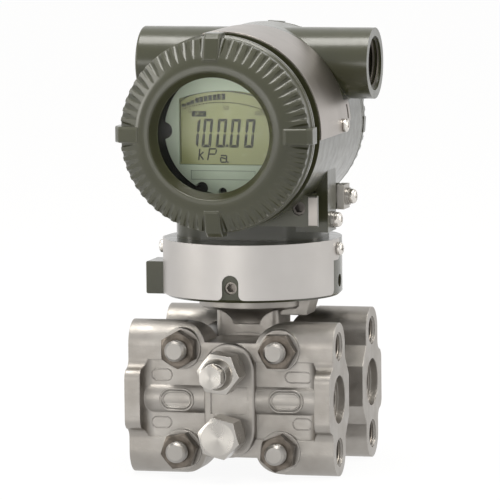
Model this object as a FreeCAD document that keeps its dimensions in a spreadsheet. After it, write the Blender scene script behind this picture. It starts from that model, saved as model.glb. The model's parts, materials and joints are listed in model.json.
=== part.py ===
import FreeCAD, Part
import math
import os
import Sketcher

# Differential pressure transmitter, field mounted.
#
# Frame: +X to the right seen from the indicator side, the indicator faces -Y, +Z up.
# The origin is where the vertical neck axis meets the plane that the two process
# flanges stand on. All lengths are in millimetres.

SIZES = {
    # process flanges: the standard pair of ports with four mounting threads each end
    "flange_pitch": 54.0,        # port to port, high side to low side
    "hole_pitch": 41.3,          # mounting thread to mounting thread, vertically
    "flange_length": 82.3,
    "lobe_radius": 9.35,         # round top and bottom edge of each flange
    "bulge_rise": 6.25,          # how far the end pads stand out of the flange face
    "bulge_flat": 8.0,           # half height of the pad's flat side
    "bulge_run": 7.6,            # height of the double curve from pad to lobe
    "pad_length": 6.2,
    "pad_root": 4.0,             # cast radius at the foot of the pad
    "waist_height": 44.8,        # flange height between the bolt shoulders
    "boss_width": 20.4,          # oval boss that carries the vent and drain plugs
    "boss_rise": 2.4,
    "boss_edge": 1.1,
    "boss_dip": 0.6,             # shallow pocket between the two plugs
    "boss_dip_half": 7.4,
    "rib_radius": 7.6,
    "rib_rise": 1.4,
    "field_depth": 0.9,          # shallow field above and below the rib
    "field_half": 15.2,
    "port_seal_radius": 9.4,
    "port_seal_depth": 3.0,
    "port_radius": 5.9,
    "port_depth": 18.0,
    "mount_thread_radius": 4.95,
    "mount_thread_depth": 13.9,
    "mount_chamfer": 0.7,
    # body bolts
    "bolt_pitch": 39.6,
    "bolt_diameter": 8.0,
    "bolt_clearance": 0.25,
    "bolt_shoulder_radius": 9.8,     # round shoulder of the casting about each bolt
    "bolt_seat_radius": 8.0,
    "bolt_seat_rise": 1.0,
    "bolt_stand_out": 4.8,
    "bolt_point": 0.9,
    "nut_flats": 13.0,
    "nut_thickness": 4.8,
    "nut_chamfer": 0.8,
    "head_thickness": 5.3,
    # measuring capsule
    "capsule_radius": 23.6,
    "capsule_half": 11.5,        # half the distance between the flange faces
    "chamber_radius": 15.4,
    "chamber_depth": 2.5,
    "diaphragm_thickness": 0.3,
    "diaphragm_wave": 0.7,
    "diaphragm_gap": 0.2,
    "gasket_inner": 17.2,
    "gasket_width": 3.0,
    "gasket_thickness": 1.5,
    "neck_width": 25.0,
    "neck_depth": 22.4,
    "neck_corner": 2.5,
    "neck_flare": 6.0,           # round the top of the neck, out to its ring
    "ring_radius": 21.4,
    "ring_height": 4.4,
    "stop_drop": 7.2,            # lug on the right of the ring that stops the swivel
    "stop_foot": 23.0,
    "stop_reach": 25.2,
    "stop_width": 14.0,
    "spigot_radius": 14.5,
    "spigot_length": 16.3,       # from the underside of the drum
    "swivel_clearance": 0.08,
    "swivel_gap": 0.3,
    "seal_section": 0.8,
    "seal_rise": 2.4,       # seal above the underside of the drum
    "seal_groove_play": 0.4,
    "header_radius": 10.4,
    "header_depth": 6.0,
    "header_thickness": 3.0,
    "pin_count": 8.0,
    "pin_circle": 6.0,
    "pin_radius": 0.5,
    "pin_reach": 2.4,
    # vent and drain plugs
    "plug_offset": 12.45,
    "plug_flats": 14.8,
    "plug_thread_radius": 6.2,
    "plug_thread_depth": 11.0,
    "plug_collar": 6.0,          # bare stem between the boss and the hexagon
    "plug_chamfer": 1.2,
    "vent_hexagon": 11.4,        # length of each hexagon
    "drain_hexagon": 11.9,
    "vent_cone": 5.2,
    "vent_cone_radius": 4.9,
    "vent_screw_stand_out": 0.8,
    "vent_screw_flats": 8.6,
    "vent_screw_head": 4.6,
    "vent_screw_radius": 3.0,
    "vent_screw_clearance": 0.06,
    "vent_screw_length": 17.0,
    # housing: drum, neck, barrel and conduit tube, one casting
    "neck_gap": 7.7,       # flange tops to the underside of the drum
    "drum_height": 22.6,
    "drum_radius": 35.0,
    "drum_chamfer": 1.2,
    "drum_lug_reach": 42.0,
    "drum_lug_width": 15.0,
    "drum_lug_height": 12.8,
    "drum_lug_edge": 1.0,
    "set_screw_rise": 5.8,
    "set_screw_radius": 2.5,
    "neck_half_width": 29.5,     # neck between drum and barrel
    "neck_half_depth": 17.0,
    "neck_bend": 13.0,
    "cheek_reach": 34.5,         # rib on the right that carries the spare screw
    "cheek_front": 16.0,
    "cheek_back": 3.0,
    "cheek_foot": 3.6,           # above the drum
    "earth_boss_radius": 5.2,
    "earth_offset": 2.6,         # earth terminal behind the neck axis
    "earth_drop": 28.6,          # earth terminal below the barrel's axis
    "adjuster_boss_front": 30.0,     # boss that holds the zero adjuster
    "adjuster_boss_left": 8.0,
    "adjuster_boss_right": 33.9,
    "adjuster_boss_waist": 30.0,
    "adjuster_boss_height": 12.0,
    "adjuster_boss_drop": 25.5,      # its top, below the barrel's axis
    "adjuster_offset": 26.4,
    "adjuster_drop": 4.9,            # the screw, below the boss's top
    "adjuster_radius": 2.6,
    "adjuster_clearance": 0.08,
    "adjuster_length": 9.0,
    "adjuster_recess": 0.6,
    "adjuster_key": 3.0,
    "barrel_lift": 44.7,             # barrel's axis above the drum
    "barrel_radius": 38.4,
    "barrel_front": 48.3,
    "barrel_back": 26.3,
    "barrel_end_radius": 36.0,
    "barrel_end_width": 5.6,
    "rear_end_width": 1.6,
    "chamber_bore": 30.8,
    "thread_bore": 33.4,
    "thread_bore_depth": 10.3,
    "partition_front": 14.0,
    "partition_back": 8.0,
    "lead_way_radius": 7.0,          # way for the sensor leads, up into the front chamber
    "lead_way_offset": 6.0,
    "lead_way_wall": 7.0,
    "conduit_rise": 23.0,            # tube's axis above the barrel's
    "conduit_offset": 12.0,
    "conduit_radius": 14.0,
    "conduit_reach": 47.0,
    "conduit_bore": 9.7,
    "conduit_thread_depth": 16.0,
    "conduit_way": 35.0,
    "conduit_chamfer": 1.0,
    # covers
    "cover_radius": 38.0,
    "cover_gap": 0.3,
    "cover_rim": 1.6,
    "cover_ring": 0.6,           # depth and half width of the two rings round the rim
    "cover_shoulder": 8.2,       # where the shoulder starts
    "cover_depth": 13.4,         # from the joint to the front face
    "cover_face_bend": 8.0,      # face rounds over into a shoulder that falls at 30 degrees
    "cover_wall": 3.2,
    "skirt_radius": 33.1,
    "skirt_inner": 30.4,
    "skirt_length": 8.4,
    "flute_radius": 1.25,
    "flute_count": 60.0,
    "lug_inner": 28.4,
    "lug_outer": 39.2,
    "lug_drop": 4.6,
    "lug_width": 6.4,
    "lug_edge": 1.0,
    "rear_lug_outer": 38.2,
    "rear_lug_drop": 7.6,
    "rear_cover_turn": 4.0,      # how far round the rear cover's lugs stand
    "window_front_radius": 24.3,
    "window_radius": 22.3,
    "window_lip": 4.0,
    "window_edge": 0.9,
    "glass_radius": 26.6,
    "glass_thickness": 5.0,
    "glass_gasket": 0.8,
    "glass_play": 0.3,
    "retainer_thickness": 2.0,
    "retainer_inner": 24.6,
    "cover_seal_section": 0.85,
    # indicator and electronics
    "bezel_front": 38.4,
    "bezel_radius": 24.7,
    "bezel_thickness": 2.4,
    "carrier_thickness": 0.8,
    "display_half_width": 18.9,
    "display_drop": 13.1,            # edges of the display from the barrel's axis
    "display_rise": 12.4,
    "display_crown": 3.3,
    "display_recess": 0.6,
    "display_play": 0.15,
    "board_thickness": 1.6,
    "board_radius": 28.6,
    "can_radius": 27.0,
    "can_back": 15.0,
    "can_wall": 1.2,
    "amplifier_gap": 6.0,
    "module_half": 9.0,
    "module_height": 14.0,
    "module_depth": 5.0,
    # terminal side
    "terminal_width": 44.0,
    "terminal_rise": 7.0,
    "terminal_drop": 17.0,
    "terminal_back": 14.0,
    "terminal_step": 7.0,            # depth of the step under the terminals
    "terminal_step_height": 11.0,
    "terminal_pitch": 8.4,
    "terminal_fence": 1.4,
    "terminal_count": 5.0,
    "clamp_width": 6.2,
    "clamp_height": 9.0,
    "clamp_thickness": 1.0,
    # plates and small fasteners
    "plate_thickness": 0.5,
    "drum_plate_angle": 77.0,
    "drum_plate_margin": 1.0,
    "drum_plate_corner": 2.4,
    "drum_ear_angle": 87.0,          # ears at the top, under the screws
    "drum_ear_height": 8.2,
    "notch_width": 6.6,
    "notch_rise": 10.8,
    "notch_flare": 2.2,
    "data_plate_front": 42.5,
    "data_plate_back": 2.4,
    "data_plate_low": -4.0,          # angles round the barrel, from +X towards the top
    "data_plate_high": 102.0,
    "data_tab_back": 4.4,            # tab under the conduit tube, with its slot
    "data_tab_low": 0.8,
    "data_tab_high": 9.6,
    "data_slot_low": 2.2,
    "data_slot_high": 7.6,
    "data_slot_width": 1.9,
    "data_screw_place": 6.5,
    "drum_screw_angle": 84.5,
    "drum_screw_drop": 4.0,
    "pan_screw_radius": 2.6,
    "pan_screw_head": 1.9,
    "terminal_head_radius": 2.9,
    "terminal_head": 2.6,
    "earth_clamp_height": 9.6,
    "earth_clamp_width": 9.0,
    "earth_clamp_thickness": 3.0,
    "earth_washer_radius": 3.4,
    "washer_thickness": 0.7,
    "cheek_washer_radius": 3.2,
    "cheek_screw_drop": 36.6,
}


class Dim:
    """A length that knows its number and the sheet formula it comes from."""

    def __init__(self, value, text):
        self.value = float(value)
        self.text = text

    def __add__(self, other):
        other = as_dim(other)
        return Dim(self.value + other.value, f"({self.text} + {other.text})")

    def __sub__(self, other):
        other = as_dim(other)
        return Dim(self.value - other.value, f"({self.text} - {other.text})")

    def __mul__(self, other):
        other = as_dim(other)
        return Dim(self.value * other.value, f"({self.text} * {other.text})")

    def __truediv__(self, other):
        other = as_dim(other)
        return Dim(self.value / other.value, f"({self.text} / {other.text})")

    def __rsub__(self, other):
        return as_dim(other) - self

    def __neg__(self):
        return Dim(-self.value, f"(0 - {self.text})")

    __radd__ = __add__
    __rmul__ = __mul__


def as_dim(number):
    return number if isinstance(number, Dim) else Dim(number, repr(float(number)))


def root(dim):
    return Dim(math.sqrt(dim.value), f"sqrt({dim.text})")


def sine(degrees):
    return Dim(math.sin(math.radians(degrees.value)), f"sin({degrees.text} * 1deg)")


def cosine(degrees):
    return Dim(math.cos(math.radians(degrees.value)), f"cos({degrees.text} * 1deg)")


def size(name):
    return Dim(SIZES[name], f"Sizes.{name}")


doc = FreeCAD.newDocument("transmitter")
sheet = doc.addObject("Spreadsheet::Sheet", "Sizes")
for row, (alias, value) in enumerate(SIZES.items(), start=1):
    sheet.set(f"A{row}", alias)
    sheet.set(f"B{row}", repr(value))
    sheet.setAlias(f"B{row}", alias)
doc.recompute()

NODES = []

# ---------------------------------------------------------------- building helpers


def bind(thing, prop, dim):
    """Ties one property of a document object to the sheet."""
    thing.setExpression(prop, as_dim(dim).text)


def place(thing, x=0, y=0, z=0, axis=(0, 0, 1), angle=0, twist=0):
    """Puts an object at a bound position, first twisted about its own Z axis and then
    turned by a fixed angle about another axis."""
    own = FreeCAD.Rotation(FreeCAD.Vector(0, 0, 1), twist)
    turned = FreeCAD.Rotation(FreeCAD.Vector(*axis), angle)
    thing.Placement = FreeCAD.Placement(FreeCAD.Vector(0, 0, 0), turned * own)
    for letter, dim in zip("xyz", (x, y, z)):
        bind(thing, f"Placement.Base.{letter}", dim)
    return thing


def node(thing, name):
    """Marks a finished sub-part: its label is its file name."""
    thing.Label = name
    NODES.append(thing)
    return thing


def body(name):
    return doc.addObject("PartDesign::Body", name)


def sketch_on(owner, plane, lift=0):
    """A sketch on one of the body's own planes, moved along the plane's normal."""
    sketch = owner.newObject("Sketcher::SketchObject", owner.Name + "_sketch")
    datum = [f for f in owner.Origin.OriginFeatures if f.Role == plane][0]
    sketch.AttachmentSupport = (datum, [""])
    sketch.MapMode = "FlatFace"
    bind(sketch, "AttachmentOffset.Base.z", lift)
    return sketch


def fix_point(sketch, geometry, end, x, y):
    """Holds a point of the sketch at bound coordinates."""
    for kind, dim in (("DistanceX", x), ("DistanceY", y)):
        dim = as_dim(dim)
        index = sketch.addConstraint(
            Sketcher.Constraint(kind, -1, 1, geometry, end, dim.value))
        sketch.setExpression(f"Constraints[{index}]", dim.text)


def circle(sketch, x, y, radius):
    x, y, radius = as_dim(x), as_dim(y), as_dim(radius)
    centre = FreeCAD.Vector(x.value, y.value, 0)
    geometry = sketch.addGeometry(
        Part.Circle(centre, FreeCAD.Vector(0, 0, 1), radius.value))
    fix_point(sketch, geometry, 3, x, y)
    index = sketch.addConstraint(Sketcher.Constraint("Radius", geometry, radius.value))
    sketch.setExpression(f"Constraints[{index}]", radius.text)


def outline(sketch, corners):
    """A closed outline. Each corner is (x, y) or (x, y, centre), where centre is the
    (x, y) of the arc that runs anticlockwise from this corner to the next one, or
    clockwise when centre has a third entry."""
    points = [FreeCAD.Vector(as_dim(c[0]).value, as_dim(c[1]).value, 0) for c in corners]
    first = None
    previous = None
    for index, corner in enumerate(corners):
        start = points[index]
        end = points[(index + 1) % len(points)]
        ends = [1, 2]
        if len(corner) == 2:
            geometry = sketch.addGeometry(Part.LineSegment(start, end))
        else:
            clockwise = len(corner[2]) == 3
            cx, cy = as_dim(corner[2][0]), as_dim(corner[2][1])
            centre = FreeCAD.Vector(cx.value, cy.value, 0)
            low, high = (end, start) if clockwise else (start, end)
            if clockwise:
                ends.reverse()
            ring = Part.Circle(centre, FreeCAD.Vector(0, 0, 1), (start - centre).Length)
            from_angle = math.atan2(low.y - centre.y, low.x - centre.x)
            to_angle = math.atan2(high.y - centre.y, high.x - centre.x)
            if to_angle <= from_angle:
                to_angle += 2 * math.pi
            geometry = sketch.addGeometry(Part.ArcOfCircle(ring, from_angle, to_angle))
            chord = end - start
            kind, dim = ("DistanceX", cx) if abs(chord.y) > abs(chord.x) else ("DistanceY", cy)
            held = sketch.addConstraint(
                Sketcher.Constraint(kind, -1, 1, geometry, 3, dim.value))
            sketch.setExpression(f"Constraints[{held}]", dim.text)
        fix_point(sketch, geometry, ends[0], corner[0], corner[1])
        if previous is None:
            first = (geometry, ends[0])
        else:
            sketch.addConstraint(
                Sketcher.Constraint("Coincident", *previous, geometry, ends[0]))
        previous = (geometry, ends[1])
    sketch.addConstraint(Sketcher.Constraint("Coincident", *previous, *first))


def box_outline(sketch, x0, x1, y0, y1):
    outline(sketch, [(x0, y0), (x1, y0), (x1, y1), (x0, y1)])


def rounded_box(sketch, x, y, bend):
    """Box about the origin, by its half sizes, with round corners."""
    outline(sketch, [
        (bend - x, -y), (x - bend, -y, (x - bend, bend - y)),
        (x, bend - y), (x, y - bend, (x - bend, y - bend)),
        (x - bend, y), (bend - x, y, (bend - x, y - bend)),
        (-x, y - bend), (-x, bend - y, (bend - x, bend - y)),
    ])


def pad(sketch, length, reverse=False):
    feature = sketch.getParentGeoFeatureGroup().newObject("PartDesign::Pad", "Pad")
    feature.Profile = sketch
    feature.Reversed = reverse
    bind(feature, "Length", length)
    return feature


def pocket(sketch, length, reverse=False):
    feature = sketch.getParentGeoFeatureGroup().newObject("PartDesign::Pocket", "Pocket")
    feature.Profile = sketch
    feature.Reversed = reverse
    bind(feature, "Length", length)
    return feature


def turn(sketch, axis="V_Axis", cut=False):
    """A turned form, or a turned cut, about the sketch's own axis."""
    kind = "PartDesign::Groove" if cut else "PartDesign::Revolution"
    feature = sketch.getParentGeoFeatureGroup().newObject(kind, "Turned")
    feature.Profile = sketch
    feature.ReferenceAxis = (sketch, [axis])
    feature.Angle = 360
    return feature


def repeat(owner, feature, plane_axis, count):
    """Copies a feature evenly round one of the body's axes."""
    pattern = owner.newObject("PartDesign::PolarPattern", "Round")
    pattern.Originals = [feature]
    datum = [f for f in owner.Origin.OriginFeatures if f.Role == plane_axis][0]
    pattern.Axis = (datum, [""])
    pattern.Angle = 360
    bind(pattern, "Occurrences", count)
    owner.Tip = pattern
    return pattern


def edges_like(shape, test):
    return [f"Edge{i}" for i, edge in enumerate(shape.Edges, start=1) if test(edge)]


def rim_of(feature, test):
    """Edges of a feature's solid whose ends all pass a test on their points."""
    return edges_like(feature.Shape, lambda edge: all(
        test(vertex.Point) for vertex in edge.Vertexes))


def soften(owner, edges, radius):
    """Rounds the named edges of the body's present solid."""
    before = owner.Tip
    feature = owner.newObject("PartDesign::Fillet", "Fillet")
    feature.Base = (before, edges)
    bind(feature, "Radius", radius)
    owner.Tip = feature
    return feature


def cylinder(radius, height, x=0, y=0, z=0, axis=(0, 0, 1), angle=0):
    thing = doc.addObject("Part::Cylinder", "Cylinder")
    bind(thing, "Radius", radius)
    bind(thing, "Height", height)
    return place(thing, x, y, z, axis, angle)


def block(x0, x1, y0, y1, z0, z1):
    thing = doc.addObject("Part::Box", "Block")
    bind(thing, "Length", as_dim(x1) - x0)
    bind(thing, "Width", as_dim(y1) - y0)
    bind(thing, "Height", as_dim(z1) - z0)
    return place(thing, x0, y0, z0)


def cone(radius, end_radius, height, x=0, y=0, z=0, axis=(0, 0, 1), angle=0):
    thing = doc.addObject("Part::Cone", "Cone")
    bind(thing, "Radius1", radius)
    bind(thing, "Radius2", end_radius)
    bind(thing, "Height", height)
    return place(thing, x, y, z, axis, angle)


def hexagon(flats, height, x=0, y=0, z=0, axis=(0, 0, 1), angle=0, twist=0):
    thing = doc.addObject("Part::Prism", "Hexagon")
    thing.Polygon = 6
    bind(thing, "Circumradius", as_dim(flats) / root(as_dim(3)))
    bind(thing, "Height", height)
    return place(thing, x, y, z, axis, angle, twist)


def torus(major, minor, x=0, y=0, z=0, axis=(0, 0, 1), angle=0):
    thing = doc.addObject("Part::Torus", "Torus")
    bind(thing, "Radius1", major)
    bind(thing, "Radius2", minor)
    return place(thing, x, y, z, axis, angle)


def cut(base, *tools):
    for tool in tools:
        feature = doc.addObject("Part::Cut", "Cut")
        feature.Base = base
        feature.Tool = tool
        base = feature
    return base


def fuse(*things):
    feature = doc.addObject("Part::MultiFuse", "Fuse")
    feature.Shapes = list(things)
    feature.Refine = True
    return feature


def common(base, tool):
    feature = doc.addObject("Part::MultiCommon", "Common")
    feature.Shapes = [base, tool]
    return feature


def group(*things):
    feature = doc.addObject("Part::Compound", "Group")
    feature.Links = list(things)
    return feature


TO_FRONT = ((1, 0, 0), 90)      # turns +Z into -Y
TO_BACK = ((1, 0, 0), -90)      # turns +Z into +Y
TO_RIGHT = ((0, 1, 0), 90)      # turns +Z into +X

# ---------------------------------------------------------------- derived places

port_height = size("hole_pitch") / 2 + size("lobe_radius")
flange_centre = size("flange_pitch") / 2
flange_inner = flange_centre - size("capsule_half")
flange_half_length = size("flange_length") / 2
bolt_half = size("bolt_pitch") / 2
bolt_seat = size("lobe_radius") + size("bolt_seat_rise")
boss_face = size("lobe_radius") + size("boss_rise")
gasket_outer = size("gasket_inner") + size("gasket_width")
drum_bottom = port_height * 2 + size("neck_gap")
spigot_top = drum_bottom + size("spigot_length")
seal_height = drum_bottom + size("seal_rise")
drum_top = drum_bottom + size("drum_height")
set_screw_height = drum_bottom + size("set_screw_rise")
swivel_bore = size("spigot_radius") + size("swivel_clearance")
barrel_height = drum_top + size("barrel_lift")
conduit_height = barrel_height + size("conduit_rise")
adjuster_boss_top = barrel_height - size("adjuster_boss_drop")
earth_height = barrel_height - size("earth_drop")
cover_plane = size("barrel_front") + size("cover_gap")
rear_cover_plane = size("barrel_back") + size("cover_gap")


# ---------------------------------------------------------------- process flanges


def process_flange(name, side):
    """Cast cover flange, in its own frame: the port runs along X through the origin,
    and the outer face looks along -Y."""
    owner = body(name)
    lobe = size("lobe_radius")
    half_pitch = size("hole_pitch") / 2
    half = flange_half_length
    bar = sketch_on(owner, "YZ_Plane", -half)
    outline(bar, [
        (lobe, -half_pitch),
        (lobe, half_pitch, (0, half_pitch)),
        (-lobe, half_pitch),
        (-lobe, -half_pitch, (0, -half_pitch)),
    ])
    pad(bar, size("flange_length"))
    rise = size("bulge_rise")
    run = size("bulge_run")
    flat = size("bulge_flat")
    bulge = lobe + rise
    shoulder = flat + run
    bend = (rise * rise + run * run) / (rise * 4)
    middle = (-lobe - rise / 2, flat + run / 2)
    swell = sketch_on(owner, "YZ_Plane", -half)
    outline(swell, [
        (0, -shoulder), (lobe, -shoulder), (flange_inner, -flat),
        (flange_inner, flat), (lobe, shoulder), (0, shoulder),
        (-lobe, shoulder, (-lobe - bend, shoulder, "clockwise")),
        (*middle, (bend - bulge, flat)),
        (-bulge, flat),
        (-bulge, -flat, (bend - bulge, -flat)),
        (middle[0], -middle[1], (-lobe - bend, -shoulder, "clockwise")),
        (-lobe, -shoulder),
    ])
    pad(swell, size("flange_length"))
    inner_end = half - size("pad_length")
    root_radius = size("pad_root")
    for floor, reach in ((lobe, shoulder + 1), (lobe - size("field_depth"), size("field_half"))):
        field = sketch_on(owner, "XY_Plane", -reach)
        outline(field, [
            (-inner_end, -bulge - 1), (inner_end, -bulge - 1),
            (inner_end, -floor - root_radius, (inner_end - root_radius, -floor - root_radius)),
            (inner_end - root_radius, -floor),
            (root_radius - inner_end, -floor,
             (root_radius - inner_end, -floor - root_radius)),
            (-inner_end, -floor - root_radius),
        ])
        pocket(field, reach * 2, reverse=True)
    seat = sketch_on(owner, "XZ_Plane", -flange_inner)
    circle(seat, 0, 0, size("capsule_radius") + 1.0)
    pad(seat, flange_inner)
    rib = sketch_on(owner, "YZ_Plane", -inner_end)
    circle(rib, size("rib_radius") - lobe - size("rib_rise"), 0, size("rib_radius"))
    pad(rib, inner_end * 2)
    waist = size("waist_height") / 2
    shoulder_radius = size("bolt_shoulder_radius")
    climb = waist - bolt_half
    notch = bolt_half - root(shoulder_radius * shoulder_radius - climb * climb)
    top = half_pitch + lobe + 1
    for sign in (1, -1):
        dip = sketch_on(owner, "XZ_Plane", -flange_inner - 1)
        left, right = (-1, 1) if sign > 0 else (1, -1)
        outline(dip, [
            (notch * left, waist * sign),
            (notch * right, waist * sign, (bolt_half * right, bolt_half * sign, "clockwise")),
            (bolt_half * right, (bolt_half + shoulder_radius) * sign),
            (bolt_half * right, top * sign),
            (bolt_half * left, top * sign),
            (bolt_half * left, (bolt_half + shoulder_radius) * sign,
             (bolt_half * left, bolt_half * sign, "clockwise")),
        ])
        pocket(dip, flange_inner * 2 + 2, reverse=True)
    for x in (-bolt_half, bolt_half):
        for z in (-bolt_half, bolt_half):
            spot = sketch_on(owner, "XZ_Plane", 0)
            circle(spot, x, z, size("bolt_seat_radius"))
            pad(spot, bolt_seat)
    boss = sketch_on(owner, "XZ_Plane", 0)
    boss_half = size("boss_width") / 2
    boss_run = waist - boss_half
    outline(boss, [
        (boss_half, -boss_run),
        (boss_half, boss_run, (0, boss_run)),
        (-boss_half, boss_run),
        (-boss_half, -boss_run, (0, -boss_run)),
    ])
    raised = pad(boss, boss_face)
    doc.recompute()
    soften(owner, rim_of(raised, lambda point: abs(point.y + boss_face.value) < 0.01),
           size("boss_edge"))
    dip_half = size("boss_dip_half")
    dip_run = size("plug_offset") - size("plug_thread_radius") - 1
    saddle = sketch_on(owner, "XZ_Plane", boss_face)
    box_outline(saddle, -dip_half, dip_half, -dip_run, dip_run)
    pocket(saddle, size("boss_dip"))
    for x in (-bolt_half, bolt_half):
        for z in (-bolt_half, bolt_half):
            hole = sketch_on(owner, "XZ_Plane", -flange_inner - 1)
            circle(hole, x, z, size("bolt_diameter") / 2 + size("bolt_clearance"))
            pocket(hole, flange_inner + bolt_seat + 3, reverse=True)
    for z in (-size("plug_offset"), size("plug_offset")):
        hole = sketch_on(owner, "XZ_Plane", boss_face)
        circle(hole, 0, z, size("plug_thread_radius"))
        pocket(hole, size("plug_thread_depth"))
    chamber = sketch_on(owner, "XZ_Plane", -flange_inner)
    circle(chamber, 0, 0, size("chamber_radius"))
    pocket(chamber, size("chamber_depth"), reverse=True)
    thread = size("mount_thread_radius")
    drilling = [
        (0, size("port_seal_radius"), size("port_seal_depth")),
        (0, size("port_radius"), size("port_depth")),
        (half_pitch, thread, size("mount_thread_depth")),
        (-half_pitch, thread, size("mount_thread_depth")),
        (half_pitch, thread + size("mount_chamfer"), size("mount_chamfer")),
        (-half_pitch, thread + size("mount_chamfer"), size("mount_chamfer")),
    ]
    for height, radius, depth in drilling:
        right_hole = sketch_on(owner, "YZ_Plane", half)
        circle(right_hole, 0, height, radius)
        pocket(right_hole, depth)
        left_hole = sketch_on(owner, "YZ_Plane", -half)
        circle(left_hole, 0, height, radius)
        pocket(left_hole, depth, reverse=True)
    place(owner, 0, flange_centre * side, port_height, angle=0 if side < 0 else 180)
    return node(owner, name)


# ---------------------------------------------------------------- measuring capsule


def capsule():
    owner = body("capsule_body")
    half = size("capsule_half")
    disc = sketch_on(owner, "YZ_Plane")
    inner = size("gasket_inner")
    groove = half - size("gasket_thickness")
    outline(disc, [
        (-half, 0), (half, 0), (half, inner), (groove, inner), (groove, gasket_outer),
        (half, gasket_outer), (half, size("capsule_radius")), (-half, size("capsule_radius")),
        (-half, gasket_outer), (-groove, gasket_outer), (-groove, inner), (-half, inner),
    ])
    turn(disc, "H_Axis")
    foot = gasket_outer + size("swivel_gap")
    shoulder = drum_bottom - size("swivel_gap") - port_height
    column = sketch_on(owner, "XY_Plane", foot)
    x = size("neck_width") / 2
    y = size("neck_depth") / 2
    rounded_box(column, x, y, size("neck_corner"))
    pad(column, shoulder - foot)
    spigot = sketch_on(owner, "XZ_Plane")
    top = spigot_top - port_height
    seal = seal_height - port_height
    seal_half = size("seal_section") + size("seal_groove_play")
    seal_floor = size("spigot_radius") - size("seal_section") * 2
    ring = size("ring_radius")
    under_ring = shoulder - size("ring_height")
    flare = size("neck_flare")
    outline(spigot, [
        (0, under_ring - flare),
        (x, under_ring - flare, (x + flare, under_ring - flare, "clockwise")),
        (x + flare, under_ring), (ring - 1, under_ring), (ring, under_ring + 1),
        (ring, shoulder), (size("spigot_radius"), shoulder),
        (size("spigot_radius"), seal - seal_half), (seal_floor, seal - seal_half),
        (seal_floor, seal + seal_half), (size("spigot_radius"), seal + seal_half),
        (size("spigot_radius"), top), (size("header_radius"), top),
        (size("header_radius"), top - size("header_depth")),
        (0, top - size("header_depth")),
    ])
    turn(spigot)
    stop = sketch_on(owner, "XZ_Plane", -size("stop_width") / 2)
    stop_low = shoulder - size("stop_drop")
    outline(stop, [(0, stop_low), (size("stop_foot"), stop_low),
                   (size("stop_reach"), shoulder), (0, shoulder)])
    pad(stop, size("stop_width"))
    place(owner, 0, 0, port_height)
    return node(owner, "capsule_body")


def diaphragm(name, side):
    """Corrugated isolating foil in front of the capsule face."""
    owner = body(name)
    profile = sketch_on(owner, "XZ_Plane")
    thick = size("diaphragm_thickness")
    wave = size("diaphragm_wave")
    radius = size("chamber_radius") - size("diaphragm_gap")
    step = radius / 8
    lower = [(0, 0)]
    upper = []
    for index in range(1, 8):
        crest = wave * (index % 2)
        lower.append((step * index, crest))
        upper.append((step * index, crest + thick))
    outline(profile, lower + [(radius, 0), (radius, thick)] + upper[::-1] + [(0, thick)])
    turn(profile)
    turned = TO_FRONT if side < 0 else TO_BACK
    place(owner, 0, size("capsule_half") * side, port_height, *turned)
    return node(owner, name)


def ring_solid(outer, inner, height, x, y, z, axis, angle):
    return cut(cylinder(outer, height, x, y, z, axis, angle),
               cylinder(inner, height, x, y, z, axis, angle))


def capsule_gasket(name, side):
    start = (size("capsule_half") - size("gasket_thickness")) * side
    turned = TO_FRONT if side < 0 else TO_BACK
    return node(ring_solid(gasket_outer, size("gasket_inner"), size("gasket_thickness"),
                           0, start, port_height, *turned), name)


def chamfered_hexagon(flats, height, chamfer, x, y, z, turned, twist):
    """Hexagon head with its outer corners turned off; the chamfer is at the far end."""
    corner = as_dim(flats) / root(as_dim(3)) + 0.1
    side = 1 if turned == TO_BACK else -1
    plain = as_dim(height) - chamfer
    crown = fuse(cylinder(corner, plain, x, y, z, *turned),
                 cone(corner, corner - as_dim(chamfer) * root(as_dim(3)), chamfer,
                      x, as_dim(y) + plain * side, z, *turned))
    return common(hexagon(flats, height, x, y, z, *turned, twist), crown)


def bolts_and_nuts():
    """Four through bolts: heads on the low side, nuts on the high side."""
    bolts = []
    nuts = []
    seat = flange_centre + bolt_seat
    radius = size("bolt_diameter") / 2
    tip = seat + size("nut_thickness") + size("bolt_stand_out")
    point = size("bolt_point")
    for twist, right, up in ((30, -1, 1), (0, 1, 1), (10, -1, -1), (22, 1, -1)):
        x = bolt_half * right
        z = port_height + bolt_half * up
        shank = cylinder(radius, seat + tip - point, x, seat, z, *TO_FRONT)
        end = cone(radius, radius - point, point, x, point - tip, z, *TO_FRONT)
        head = chamfered_hexagon(size("nut_flats"), size("head_thickness"),
                                 size("nut_chamfer"), x, seat, z, TO_BACK, twist)
        bolts.append(fuse(shank, end, head))
        nut = chamfered_hexagon(size("nut_flats"), size("nut_thickness"),
                                size("nut_chamfer"), x, -seat, z, TO_FRONT, twist)
        nuts.append(cut(nut, cylinder(radius, size("nut_thickness"), x, -seat, z, *TO_FRONT)))
    node(group(*bolts), "flange_bolts")
    node(group(*nuts), "flange_nuts")


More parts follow.
